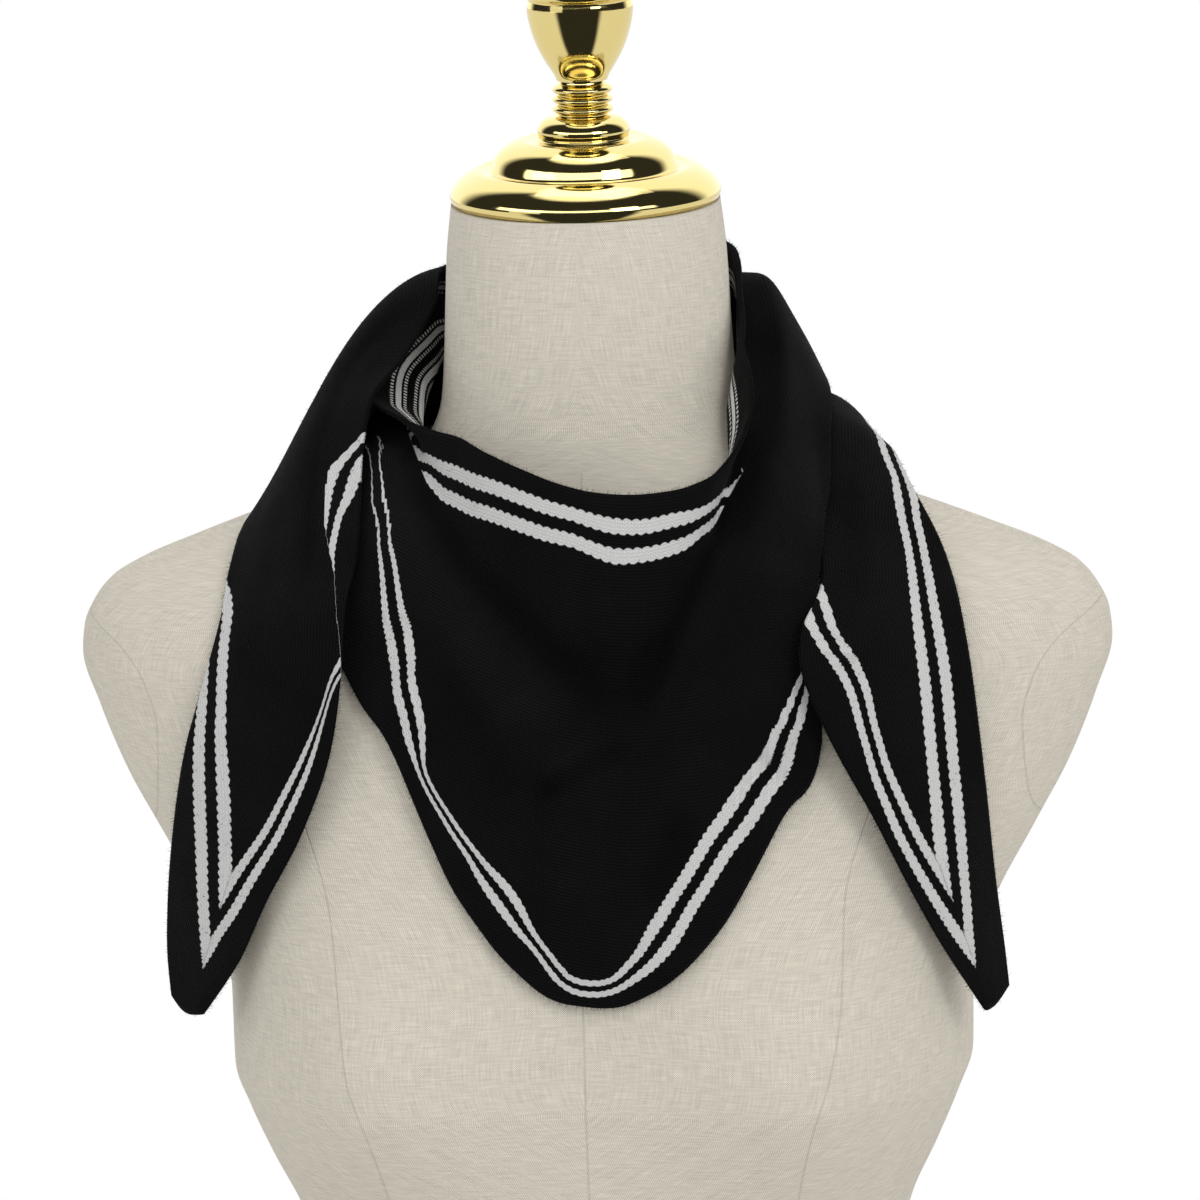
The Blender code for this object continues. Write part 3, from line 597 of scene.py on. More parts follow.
# angle, then (distance from the neck's axis, height) of edge, tuck, ridge, dip, roll and hem
collarSections = (
    (-180, (60, 507), (58, 488), (62, 478), (65, 462), (69, 446), (73, 428)),
    (-140, (60, 505), (58, 486), (62, 478), (67, 462), (74, 446), (84, 427)),
    (-115, (61, 500), (58, 477), (64, 480), (72, 464), (82, 449), (100, 430)),
    (-102, (66, 498), (57.5, 473), (67, 477), (75.5, 463), (85, 449.5), (102.5, 433)),
    (-93, (74, 488), (57.5, 467), (71, 472), (78, 461.5), (88, 450), (104.5, 436)),
    (-86, (82, 478), (58.5, 462), (75, 464), (80.5, 456), (89.5, 447.5), (103, 435.5)),
    (-80, (84.5, 468), (59.5, 457), (78, 456), (83, 450), (91, 443), (101, 434)),
    (-74, (84.5, 465), (61, 454), (81, 452.5), (86, 446.5), (92, 440.5), (100.5, 432.5)),
    (-68, (84.5, 463.5), (62.5, 452), (83.5, 450), (88, 443.5), (93, 437.5), (100, 430.5)),
    (-62, (80, 461), (65.5, 448), (85, 447), (90, 438), (96, 429), (102.5, 420)),
    (-50, (76, 457), (72.5, 438), (90, 432), (98.5, 417), (108, 401), (118, 378)),
    (-44, (75.5, 456), (74, 432), (92, 423.5), (100.5, 407), (110, 388), (117.5, 361)),
    (-38, (75, 455), (76, 425), (94, 414), (102, 394), (110.5, 372), (115.5, 347)),
    (-26, (78, 450), (79, 407), (98, 388), (104, 362), (111, 330), (115, 302)),
    (-14, (80, 444), (82, 393), (100, 370), (105, 340), (110, 305), (114, 268)),
    (-4, (81, 439), (86, 379), (105, 354), (104, 332), (109, 295), (112, 253)),
    (5, (82, 436), (91, 366), (107, 351), (104, 338), (109, 305), (113, 251)),
    (14, (84, 435), (95, 357), (107, 349), (106, 340), (111, 320), (117, 258)),
    (24, (86, 436), (89, 384), (99, 377), (102, 368), (112, 345), (119, 276)),
    (34, (87, 440), (84, 411), (96, 406), (98, 398), (113, 372), (119.5, 306)),
    (39, (85, 444), (78.5, 421), (94, 415.5), (95.5, 406.5), (113, 386), (121.5, 325)),
    (43, (83.5, 448), (74.5, 430), (91.5, 424), (94, 415), (113, 398), (122, 340)),
    (45, (83, 450.5), (73, 432.5), (90, 429), (93, 419), (112, 402), (121.5, 354)),
    (46.5, (82.5, 452.5), (72, 434.5), (89, 432), (92, 422), (110, 406), (118.5, 391)),
    (52, (80.5, 462.5), (66.5, 443.5), (87, 442), (90, 434), (104, 421), (112, 411)),
    (58, (74, 474), (60, 456), (85, 450), (88, 443), (97, 434), (105, 422)),
    (68, (64, 484), (58, 463), (79, 465), (82, 458), (89, 449), (97, 437)),
    (78, (60.5, 492.5), (57.5, 470), (75, 478), (78, 471), (84, 463), (92, 452)),
    (92, (57.5, 505), (57, 482), (69, 499), (75, 487), (82, 478), (89, 465)),
    (110, (58.5, 516), (59.5, 492), (67, 512), (75, 497), (83, 483), (92, 464)),
    (130, (59.5, 519), (62, 497), (67.5, 510), (75, 492), (84, 474), (93, 452)),
    (155, (64, 513), (64, 497), (70, 491), (76, 474), (83, 456), (89, 436)),
    (180, (65, 513), (68, 498), (72, 485), (76, 468), (79, 450), (80, 428)),
)
collarCuts = {"left": -62, "right": 50}
wrapRightShares = (0, 0.02, 0.042, 0.07, 0.1, 0.14, 0.185, 0.24, 0.3, 0.36, 0.43, 0.5, 0.57, 0.65, 0.73, 0.82,
                   0.91, 1)
# points inner, pleat, crown and outer across the left end, then how deep its inner part sinks at the pleat
endLeftSections = (
    ((0, 65, 513), (0, 72, 485), (0, 79, 450), (0, 80, 428), 0),
    ((-32, 56, 513), (-36, 63, 492), (-44, 74, 460), (-50, 82, 426), 0),
    ((-50, 35, 512), (-56, 39, 501), (-72, 48, 476), (-90, 62, 427), 0),
    ((-57, 13, 512), (-65, 13, 511), (-91, 10, 484), (-121, 12, 426), 2),
    ((-57, -3, 502), (-76, -4, 501), (-100.5, -4, 470), (-124, -8, 420), 2),
    ((-69, -21, 480), (-87, -18, 480), (-109, -15, 453), (-126, -22, 414), 1),
    ((-80, -36, 467), (-95, -28, 462), (-115, -28, 438), (-127.5, -36, 406), 2),
    ((-84, -49, 446), (-98, -44, 441), (-120, -43, 422), (-130, -50, 396), 4),
    ((-83, -70, 418), (-96, -66, 420), (-122, -58, 406), (-134, -59, 387), 5),
    ((-85, -84, 395), (-92, -86, 395), (-120, -76, 385), (-138, -65, 374), 3),
    ((-86.5, -91, 375), (-92, -92.5, 373), (-121, -82, 365), (-142, -69, 360), 1),
    ((-91, -95, 345), (-100, -94, 343), (-126, -84, 340), (-148, -68, 341), 0),
    ((-103, -94, 313), (-112, -91, 312), (-132, -80, 311), (-154.5, -61, 312), 0),
    ((-118, -88, 286), (-125, -84, 285), (-140, -74, 284), (-158.5, -55, 283), 0),
    ((-130, -78, 262), (-135, -75, 261), (-147, -64, 260), (-160, -51, 262), 0),
    ((-146, -64, 241), (-149, -62, 239), (-153, -58, 239), (-158.5, -53, 245), 0),
)
pleat = {"share": 1 / 3, "step": 0.09, "from": 224}
# points inner, crown and outer across the right end
endRightSections = (
    ((44, 72, 454), (43.5, 75, 448), (42, 78, 441)),
    ((70, 57, 449), (74, 62, 441), (77, 66, 427)),
    ((84, 33, 457), (93, 35, 450), (100, 38, 434)),
    ((85, 8, 463), (97, 8, 458), (108, 8, 443)),
    ((85, -16, 456), (100, -16, 454), (113, -17, 443)),
    ((86, -38, 437), (105, -37, 438), (121, -34, 431)),
    ((86, -55, 421), (109, -54, 415), (133, -49, 409)),
    ((90, -65, 410), (111, -61, 406), (136, -54, 400)),
    ((88, -76, 397.5), (112, -69, 396.5), (138, -59, 393)),
    ((84, -83, 390), (112, -75, 387), (140, -64, 383)),
    ((80, -92, 378), (112, -82, 375), (142, -68, 371)),
    ((91, -97, 347), (119, -86, 347), (145, -71, 346)),
    ((106, -95, 318), (127, -86, 319), (147.5, -68, 320)),
    ((120, -88, 288), (135, -79, 289), (150, -61, 290)),
    ((132, -75, 263), (142, -68, 264), (153, -53, 262)),
    ((146, -60, 238), (149, -57, 239), (154.5, -51, 246)),
)


class Layer:
    # what a stretch of cloth stays clear of: a surface and the distance to keep from it

    def __init__(self, points, faces, distance, reach):
        self.points = [Vector(p) for p in points]
        self.tree = BVHTree.FromPolygons(self.points, faces)
        self.distance = distance
        self.reach = reach

    def lift(self, point):
        place, normal, _, gap = self.tree.find_nearest(Vector(point), self.reach)
        if place is None:
            return None
        way = Vector(point) - place
        depth = way.dot(normal)
        beside = gap > knit["touching"] and abs(depth) < knit["besideShare"] * gap
        if (beside or depth > 0) and gap >= self.distance:
            return None
        if beside:
            return np.array(way) * (self.distance / gap - 1)
        return np.array(normal) * (self.distance - depth)


def foldPushes(grid, distance):
    # parts those folds of a sheet that come nearer each other than a distance
    sections, rows, _ = grid.shape
    tree = BVHTree.FromPolygons([Vector(p) for p in grid.reshape(-1, 3)], gridFaces(grid))
    run = runAcross(grid)
    pushed = np.zeros_like(grid)
    for s in range(sections):
        for r in range(rows):
            point = Vector(grid[s, r])
            best = None
            for place, _, face, gap in tree.find_nearest_range(point, distance):
                nearRow = face % (rows - 1)
                away = min(abs(run[s, nearRow] - run[s, r]), abs(run[s, nearRow + 1] - run[s, r]))
                if away > knit["ownRun"] and gap > knit["touching"] and (best is None or gap < best[1]):
                    best = (place, gap)
            if best:
                pushed[s, r] = np.array(point - best[0]) * (distance / best[1] - 1) / 2
    return pushed


def edgePushes(grid, layers):
    # lifts the faces of a sheet that a corner of the cloth under them comes too near
    rows = grid.shape[1]
    tree = BVHTree.FromPolygons([Vector(p) for p in grid.reshape(-1, 3)], gridFaces(grid))
    pushed = np.zeros((grid.shape[0] * rows, 3))
    for layer in layers:
        for point in layer.points:
            place, normal, face, gap = tree.find_nearest(point, layer.reach)
            if place is None:
                continue
            depth = (point - place).dot(normal)
            beside = gap > knit["touching"] and abs(depth) < knit["besideShare"] * gap
            if beside or depth <= -layer.distance:
                continue
            corner = face // (rows - 1) * rows + face % (rows - 1)
            push = min(depth + layer.distance, knit["edgePush"])
            for index in (corner, corner + 1, corner + rows, corner + rows + 1):
                if np.linalg.norm(pushed[index]) < push:
                    pushed[index] = np.array(normal) * push
    return pushed.reshape(grid.shape)


def easeFolds(grid, passes, share=0.5):
    for _ in range(passes):
        inside = grid[:, 1:-1] * (1 - share) + (grid[:, :-2] + grid[:, 2:]) / 2 * share
        grid = np.concatenate([grid[:, :1], inside, grid[:, -1:]], axis=1)
    return grid


def settle(grid, formLayer, layers=(), held=None):
    # moves a sheet off the form, off the cloth under it and out of its own folds
    sections, rows, _ = grid.shape
    start = grid.copy()
    rounds = knit["rounds"]
    for turn in range(rounds):
        pushed = foldPushes(grid, knit["thickness"] + knit["foldGap"]) + edgePushes(grid, layers)
        for s in range(sections):
            for r in range(rows):
                for layer in (formLayer, *layers):
                    way = layer.lift(grid[s, r] + pushed[s, r])
                    if way is not None:
                        pushed[s, r] += way
        if turn < rounds - 2:
            # each push carries its neighbours along
            wide = np.pad(pushed, ((1, 1), (1, 1), (0, 0)), mode="edge")
            soft = (wide[:-2, 1:-1] + wide[2:, 1:-1] + wide[1:-1, :-2] + wide[1:-1, 2:]) / 8 + pushed / 2
            own, shared = (np.linalg.norm(each, axis=2, keepdims=True) for each in (pushed, soft))
            pushed = np.where(own >= shared, pushed, soft)
        grid = grid + pushed
        if turn < rounds - 3:
            grid = easeFolds(grid, 1, knit["ease"])
        if held is not None:
            grid[held] = start[held]
    return grid


def collarGrid(angles):
    table = [[row[0]] + [value for mark in row[1:] for value in mark] for row in collarSections]
    marks = smoothRead(table, angles).reshape(len(angles), 6, 2)
    edge, tuck, ridge = marks[:, 0], marks[:, 1], marks[:, 2]
    toEdge = (edge - tuck) / np.linalg.norm(edge - tuck, axis=1, keepdims=True)
    toRidge = (ridge - tuck) / np.linalg.norm(ridge - tuck, axis=1, keepdims=True)
    sideways = toEdge - toRidge
    sideways *= knit["tuckWidth"] / 2 / np.linalg.norm(sideways, axis=1, keepdims=True)
    # the tuck's bottom is rounded: two points in place of one
    marks = np.stack([edge, tuck + sideways, tuck - sideways, *marks[:, 2:].transpose(1, 0, 2)], axis=1)
    lines = across(marks, tuckShares, knit["rows"])
    turn = np.radians(angles)[:, None]
    radius, height = lines[:, :, 0], lines[:, :, 1]
    grid = np.stack([radius * np.sin(turn), -radius * np.cos(turn), height], axis=2)
    return easeFolds(grid, knit["easePasses"])


def stripGrid(marks, size, startShare=0.0):
    sections, rows = size
    run = runOf(marks.mean(axis=1))
    stations = run / run[-1]
    at = np.linspace(startShare, 1, sections)
    count, columns, width = marks.shape
    marks = smoothRead(np.column_stack([stations, marks.reshape(count, columns * width)]), at)
    return across(marks.reshape(sections, columns, width), np.linspace(0, 1, columns), rows), stations, at


def bridgeTuck(grid):
    closed = grid.copy()
    last = round(knit["bridgeShare"] * (grid.shape[1] - 1))
    share = np.linspace(0, 1, last + 1)[None, :, None]
    closed[:, :last + 1] = grid[:, :1] * (1 - share) + grid[:, last:last + 1] * share
    return closed


def asLayer(grid, gap):
    return Layer(grid.reshape(-1, 3), gridFaces(grid), knit["thickness"] + gap, knit["layerReach"])


cadForm = frame["nodes"]["dress_form"].data
formLayer = Layer([v.co / mm for v in cadForm.vertices], [tuple(p.vertices) for p in cadForm.polygons],
                  knit["thickness"] / 2 + knit["restGap"], knit["formReach"])
left, right = collarCuts["left"], collarCuts["right"]
leftCount = knit["leftSections"]
underAngles = np.concatenate([np.linspace(-180, left, leftCount),
                              np.linspace(left, right, knit["frontSections"])[1:]])
underTurn = settle(collarGrid(underAngles), formLayer)
wrapLeft, panel = underTurn[:leftCount], underTurn[leftCount - 1:]
endRight, _, _ = stripGrid(np.array(endRightSections, float), knit["endRightGrid"])
endRight = settle(endRight, formLayer, [asLayer(panel, knit["layerGap"])])
overAngles = right + (180 - right) * np.array(wrapRightShares)
wrapRight = collarGrid(overAngles)
wrapRight[0] = panel[-1]
wrapRight = settle(wrapRight, formLayer, [asLayer(endRight, knit["restGap"])], held=0)
# the left end starts a hair past the nape, then its inner part sinks at the pleat
leftMarks = np.array([row[:4] for row in endLeftSections], float)
endLeft, stations, at = stripGrid(leftMarks, knit["endLeftGrid"], 0.002)
depths = smoothRead(np.column_stack([stations, [row[4] for row in endLeftSections]]), at)
shares = np.linspace(0, 1, endLeft.shape[1])
inner = smoothStep(np.clip((pleat["share"] - shares) / pleat["step"] + 0.5, 0, 1))
endLeft = endLeft - gridNormals(endLeft) * inner[None, :, None] * depths[:, :, None]
endLeft = settle(endLeft, formLayer, [asLayer(bridgeTuck(wrapLeft), knit["layerGap"]),
                                      asLayer(bridgeTuck(panel), knit["layerGap"])])
print("scarf settled")


# Scarf: fine surface, stripes and knit

surface = {
    "turnSections": 560, "endSections": 200, "turnRows": 84, "endRows": 64, "wall": 1.9, "thinEdge": 0.45,
    "black": (0.0052, 0.0052, 0.0054), "white": (0.80, 0.80, 0.79), "joinSections": 5, "far": 99.0,
}
# the camera looks down a little: a point seems as high as it is, plus this share of its depth
viewSlope = 0.139


def seenHeight(grid):
    return grid[:, :, 2] + viewSlope * grid[:, :, 1]


def joinGrids(first, second, sections):
    # one sheet from two that meet at a section, eased over the join
    rowsAt = np.linspace(0, second.shape[1] - 1, first.shape[1])
    second = splineRead(second.transpose(1, 0, 2), rowsAt).transpose(1, 0, 2)
    shift = (first[-1] - second[0]) / 2
    for k in range(sections):
        fade = (1 - k / sections) ** 2
        first[-1 - k] = first[-1 - k] - shift * fade
        second[k] = second[k] + shift * fade
    return np.concatenate([first, second[1:]])


def fineGrid(grid, sections, rows):
    # new sections that lie evenly along the strip, and where they were read
    run = runOf(grid[:, grid.shape[1] // 2])
    at = np.interp(np.linspace(0, run[-1], sections), run, np.arange(len(grid)))
    fine = splineRead(grid, at).transpose(1, 0, 2)
    return splineRead(fine, np.linspace(0, grid.shape[1] - 1, rows)).transpose(1, 0, 2), at


def nearestOnLine(points, line, along):
    # distance of each point from a polyline, and how far along it the nearest place lies
    best = np.full(len(points), 1e9)
    place = np.zeros(len(points))
    for a, b, ua, ub in zip(line, line[1:], along, along[1:]):
        way = b - a
        t = np.clip(((points - a) @ way) / max(way @ way, 1e-9), 0, 1)
        gap = np.linalg.norm(points - a - t[:, None] * way, axis=1)
        nearer = gap < best
        best = np.where(nearer, gap, best)
        place = np.where(nearer, ua + t * (ub - ua), place)
    return best, place


def edgeDistances(grid, row, window, rowsNear):
    # distance and place along one long edge of the sheet, for the rows near it
    sections, rows, _ = grid.shape
    line = grid[:, row]
    along = runOf(line)
    distance = np.full((sections, rows), surface["far"])
    place = np.repeat(along[:, None], rows, axis=1)
    for s in range(sections):
        picked = slice(max(0, s - window), min(sections, s + window + 1), 2)
        distance[s, rowsNear], place[s, rowsNear] = nearestOnLine(
            grid[s, rowsNear], line[picked], along[picked])
    return distance, place


def edgeByRun(grid):
    # distance from the first row measured over the folds
    along = np.gradient(grid[:, 0], axis=0)
    down = grid[:, 2] - grid[:, 0]
    along /= np.linalg.norm(along, axis=1, keepdims=True)
    down /= np.linalg.norm(down, axis=1, keepdims=True)
    squareness = np.sqrt(np.clip(1 - np.sum(along * down, axis=1) ** 2, 0.2, 1))
    return runAcross(grid) * squareness[:, None]


# Creases, given one by one: the side they show on, height in mm (below zero is a trough), width in mm, and
# the line each follows as (x, height as seen from the front). They fade out at both ends.
creases = (
    ("front", -1.6, 6, ((-70, 446), (-58, 423), (-43, 400), (-28, 385), (-14, 370), (1, 355), (15, 341))),
    ("front", -1.6, 6, ((59, 437), (54, 423), (45, 400), (36, 377), (24, 355), (15, 341))),
    ("front", -1.1, 13, ((-4, 377), (6, 358), (16, 343), (26, 357), (34, 376))),
    ("front", 1.3, 9, ((-78, 453), (-62, 400), (-29, 355), (1, 330))),
    ("front", -1.2, 5, ((22, 330), (11, 330), (-8, 319), (-19, 311))),
    ("front", 0.8, 6, ((16, 336), (1, 327), (-15, 321))),
    ("front", -1.5, 5, ((62, 509), (68, 498), (71, 485), (70, 472), (70, 456), (66, 435), (60, 414),
        (53, 393))),
    ("front", 1.2, 9, ((79, 483), (84, 451), (82, 435), (75, 408), (66, 381))),
    ("front", -0.8, 7, ((38, 313), (34, 294), (25, 271))),
    ("front", -0.8, 8, ((-48, 366), (-37, 336), (-23, 309))),
    ("front", -1.2, 4, ((-54, 500), (-64, 497), (-74, 491), (-83, 482), (-89, 474), (-94, 463), (-97, 454),
        (-99, 445), (-101, 430), (-100, 408), (-99, 378))),
    ("front", 0.9, 10, ((-125, 453), (-134, 400), (-140, 340), (-142, 286))),
    ("front", -0.7, 7, ((-111, 430), (-119, 385), (-127, 347))),
    ("front", 0.8, 10, ((105, 449), (112, 400), (117, 355), (123, 309))),
    ("front", -0.8, 6, ((96, 434), (101, 400), (103, 377))),
    ("back", -1.3, 6, ((70, 478), (30, 462), (-25, 456), (-70, 462))),
    ("back", 1.0, 8, ((60, 452), (10, 444), (-50, 446))),
    ("back", -1.0, 5, ((-20, 490), (-60, 470), (-95, 446))),
)


def addCreases(grid):
    normals = gridNormals(grid)
    flat = np.stack([grid[:, :, 0], seenHeight(grid)], axis=2).reshape(-1, 2)
    push = np.zeros(len(flat))
    for side, height, width, line in creases:
        facing = np.clip(normals[:, :, 1] * (3 if side == "back" else -3), 0, 1).ravel()
        line = np.array(line, float)
        run = runOf(line)
        gap, along = nearestOnLine(flat, line, run)
        ends = smoothStep(np.clip(np.minimum(along, run[-1] - along) / (0.22 * run[-1]), 0, 1))
        swell = 0.8 + 0.2 * np.sin(along / 11.0 + width)
        push += height * swell * ends * np.exp(-(gap / width) ** 2) * facing
    push = push.reshape(grid.shape[:2])
    return grid + normals * push[:, :, None], push


turnCoarse = np.concatenate([underTurn, wrapRight[1:]])
turnAngles = np.concatenate([underAngles, overAngles[1:]])
collarCount = len(turnCoarse)
wholeTurn = joinGrids(turnCoarse.copy(), endLeft.copy(), surface["joinSections"])
turnGrid, turnAt = fineGrid(wholeTurn, surface["turnSections"], surface["turnRows"])
endGrid, endAt = fineGrid(endRight, surface["endSections"], surface["endRows"])
turnGrid, turnPush = addCreases(turnGrid)
endGrid, endPush = addCreases(endGrid)
# The right end's inner edge reaches a little further in where it passes under the turn, and the panel's hem a
# little further out just before it goes under that end: place, shift.
endPlaces = endAt / (len(endRight) - 1)
drawnIn = np.interp(endPlaces, (0.38, 0.44, 0.54, 0.6), (0, 3.2, 3.2, 0))
endGrid[:, :, 0] -= drawnIn[:, None] * np.clip(1 - np.linspace(0, 4, surface["endRows"]), 0, 1)[None, :]
turnPlaces = np.interp(turnAt, np.arange(collarCount), turnAngles)
hemShift = ((-180, 0), (33, 0), (36, 0.8), (38.5, 2.2), (41, 3.4), (42.3, 4.5), (43.2, 4.8), (44.1, 3),
            (45.2, 0), (180, 0))
drawnOut = smoothRead(hemShift, np.minimum(turnPlaces, 180))
turnGrid[:, :, 0] += drawnOut * np.clip(1 - np.linspace(5, 0, surface["turnRows"]), 0, 1)[None, :]


# Where the middles of the two stripes lie, in mm from the edge that shows: a place along the edge, then the
# first and second stripe. Round the neck a place is an angle. On the left end it is 180 and the share of that
# end's length, times 100, and on the right end the share of its length. Where an edge is turned under, its
# stripes lie on the other side of it and the numbers are below zero.
stripePlaces = {
    "turnTop": (
        (-180, 12, 21.5), (-90, 12, 21.5), (-68, 24, 31), (-60, 18, 25.5), (-50, 11.7, 19.3), (-40, 13, 23),
        (-18, 9.8, 19.5), (-2, 9.2, 18.5), (10, 11.6, 22.5), (16, 11.8, 22), (25, 10.6, 20.2),
        (33, 10.6, 17.5), (41, 13.8, 20.4), (44.6, 18.2, 25), (47.5, 21.3, 28.4), (50, 24.6, 32),
        (60, 12, 21.5), (100, 12, 21.5), (130, -14, -4.5), (162, 12, 21.5), (182, 12, 21.5), (201, -14, -4.5),
        (220, -14, -4.5), (225.6, -13, -4.2), (227, -8, 0), (228, -4, 5), (229.4, 1, 11.4),
        (231.2, 4.1, 13.8), (233.1, 8.3, 13.4), (235.6, 9.4, 14.2), (238.5, 7.8, 13), (242, 6, 11),
        (245, 5, 10), (280, -14, -4.5),
    ),
    "turnHem": (
        (-180, 12, 21.5), (-110, 14, 23.5), (-74, 20, 25.3), (-68, 19, 22.5), (-63, 17.3, 22),
        (-60, 20.8, 25.4), (-55, 23.2, 29), (-49, 22.6, 29.6), (-44.5, 18.6, 25.4), (-39, 10.9, 17.4),
        (-36.5, 7.8, 13), (-33.5, 6.4, 8.8), (-29.2, 8.6, 11.5), (-25, 11.1, 15), (-20, 11.3, 17.4),
        (-14, 11, 14.8), (-7.3, 7.9, 11.9), (0.3, 4.8, 8.9), (7, 6.2, 10.4), (14, 8.6, 15), (20, 10.8, 19.2),
        (26.5, 13.7, 21.5), (32, 13.3, 21.6), (36.8, 10.2, 19.3), (39, 10.5, 19), (41.3, 11.6, 19.8),
        (42.7, 11.5, 18.8), (43.5, 9.1, 15.8), (44.2, 6, 11.4), (44.8, 3, 6.8), (46.5, -14, -4.5),
        (100, -14, -4.5), (130, 12, 21.5), (180, 12, 21.5), (192, 10, 19.5), (210, -12, -3), (225, -14, -6),
        (231.2, -9, 1.6), (240, -3, 7), (244.3, 0.8, 9.9), (253.5, 9.1, 21), (261.4, 17.1, 30),
        (267.7, 22.6, 34.5), (274, 25, 36.5), (280, 25, 37),
    ),
    "beyondPleat": (
        (240, -30, -20.5), (245, -8, -2), (247.6, 1.5, 3.6), (249.4, 3.6, 5.3), (253.3, 5.7, 8.8),
        (258.7, 7.1, 11.9), (264, 8.2, 14), (269.4, 9.7, 16.8), (274.1, 12.6, 20), (280, 13, 22),
    ),
    "rightInner": (
        (0.5, -18, -10), (0.545, -9, 0.5), (0.56, -4, 6), (0.58, 2, 12.5), (0.6, 8.5, 17.5), (0.62, 12.5, 20),
        (0.654, 14.6, 20.6), (0.7, 11.6, 17), (0.748, 7.2, 13), (0.8, 5.3, 11.6), (0.868, 6.1, 13.2),
        (0.926, 7.1, 15), (1, 9, 17),
    ),
    "rightOuter": (
        (0, -8, 2), (0.28, -1, 9), (0.34, 0, 6.2), (0.385, 1, 6.4), (0.41, 2, 8.5), (0.444, 6.3, 12.3),
        (0.49, 9.5, 16), (0.55, 10.9, 18.2), (0.593, 11.2, 19.5), (0.635, 11.5, 20.3), (0.713, 13.3, 22.2),
        (0.789, 16, 25.8), (0.849, 17.8, 26.6), (0.902, 19.5, 28), (1, 21, 30),
    ),
}

# place, how far from the inner edge the left end's pleat lies
pleatLine = (
    (225, 14.5), (231.5, 14.3), (233.6, 13.2), (235.6, 10.6), (238.5, 6.4), (240.5, 4.2), (245, 1), (247, 0),
    (280, -1),
)

# The neckline's stripes run into the folds here: two points of each fold's edge (x, height seen in front).
tuckLines = {"left": ((-65.9, 446.8), (-54.3, 422.9)), "right": ((61.3, 434.6), (49.2, 413.4))}
# place along the hem, how wide its stripes look there as a share of their usual width
hemStripeWidths = ((-75, 0.2), (-66, 0.3), (-60, 0.5), (-53, 0.75), (-46, 1), (180, 1), (280, 1))

# How much of a stripe shows, from -5 for hidden to 5 for open, in mm past the edge that hides it. The numbers
# are angles round the neck, apart from the height of the neckline's corner on the right.
hiding = {
    "limit": 5.0, "cornerFrom": 20, "cornerHeight": 433.2, "hidden": (52, 130), "back": 100,
    "hem": (-95, -75, -60), "hemRate": 1.8,
}


def evenStripes(distance, place, name):
    # the distance stretched so that the stripes' middles read alike everywhere
    table = stripePlaces[name]
    read = smoothRead(table, np.clip(place, table[0][0], table[-1][0]).ravel()).reshape(*place.shape, 2)
    first, second = read[:, :, 0], read[:, :, 1]
    spread = pattern["second"] - pattern["first"]
    return pattern["first"] + (distance - first) * spread / (second - first)


def stripeField(distance, line, along, places, name):
    # the same from how far along an edge the nearest point lies, and that point's place
    place = np.interp(along, runOf(line), places)
    return evenStripes(distance, place, name), place


rowCount = surface["turnRows"]
turnPlaces = turnPlaces + 100 * np.clip(turnAt - collarCount + 1, 0, None) / (len(endLeft) - 1)
nearTop, alongTop = edgeDistances(turnGrid, 0, 30, slice(0, rowCount * 3 // 4))
nearHem, alongHem = edgeDistances(turnGrid, -1, 40, slice(rowCount // 3, rowCount))
# round the neck the neckline's stripes are measured over the folds, on the left end straight from the edge
onEnd = np.clip((turnAt - collarCount + 1) / 3, 0, 1)[:, None]
topDistance = edgeByRun(turnGrid) * (1 - onEnd) + nearTop * onEnd
alongTop = np.repeat(runOf(turnGrid[:, 0])[:, None], rowCount, axis=1) * (1 - onEnd) + alongTop * onEnd
topField, topPlace = stripeField(topDistance, turnGrid[:, 0], alongTop, turnPlaces, "turnTop")
hemField, hemPlace = stripeField(nearHem, turnGrid[:, -1], alongHem, turnPlaces, "turnHem")
pleatAt = np.interp(topPlace, *np.array(pleatLine, float).T)
beyond = (topPlace > pleat["from"]) & (topDistance > pleatAt)
topField = np.where(beyond, evenStripes(topDistance, topPlace, "beyondPleat"), topField)
onHem = hemField < topField
turnField = np.minimum(topField, hemField)
turnAlong = np.where(onHem, alongHem, alongTop)
turnPlain = np.minimum(topDistance, nearHem)


def pastLine(grid, name, sign):
    # how far, in mm, each point lies on the open side of a fold's edge, as seen from the front
    (x0, h0), (x1, h1) = tuckLines[name]
    x, h = grid[:, :, 0], seenHeight(grid)
    return sign * ((x - x0) * (h0 - h1) + (h - h0) * (x1 - x0)) / math.hypot(x1 - x0, h1 - h0)


limit = hiding["limit"]
around = turnPlaces[:, None] + 0 * topField
shown = np.where(around < 0, pastLine(turnGrid, "left", 1), pastLine(turnGrid, "right", -1))
# on the right they end just under the neckline's corner as well
cornerDrop = hiding["cornerHeight"] - seenHeight(turnGrid)
shown = np.where(around > hiding["cornerFrom"], np.minimum(shown, cornerDrop), shown)
shown = np.where(np.abs(around) > hiding["back"], limit, shown)
shown = np.where((around > hiding["hidden"][0]) & (around < hiding["hidden"][1]), -limit, shown)
shown = np.where(onHem | (around > 180), limit, shown)
hemFrom, hemMiddle, hemTo = hiding["hem"]
underHem = onHem & (hemPlace > hemFrom) & (hemPlace < hemTo)
shown = np.clip(np.where(underHem, (hemPlace - hemMiddle) * hiding["hemRate"], shown), -limit, limit)
turnWidth = np.where(onHem, np.interp(hemPlace, *np.array(hemStripeWidths, float).T), 1.0)
nearInner, alongInner = edgeDistances(endGrid, 0, 40, slice(0, surface["endRows"]))
nearOuter, alongOuter = edgeDistances(endGrid, -1, 40, slice(0, surface["endRows"]))
innerField, _ = stripeField(nearInner, endGrid[:, 0], alongInner, endPlaces, "rightInner")
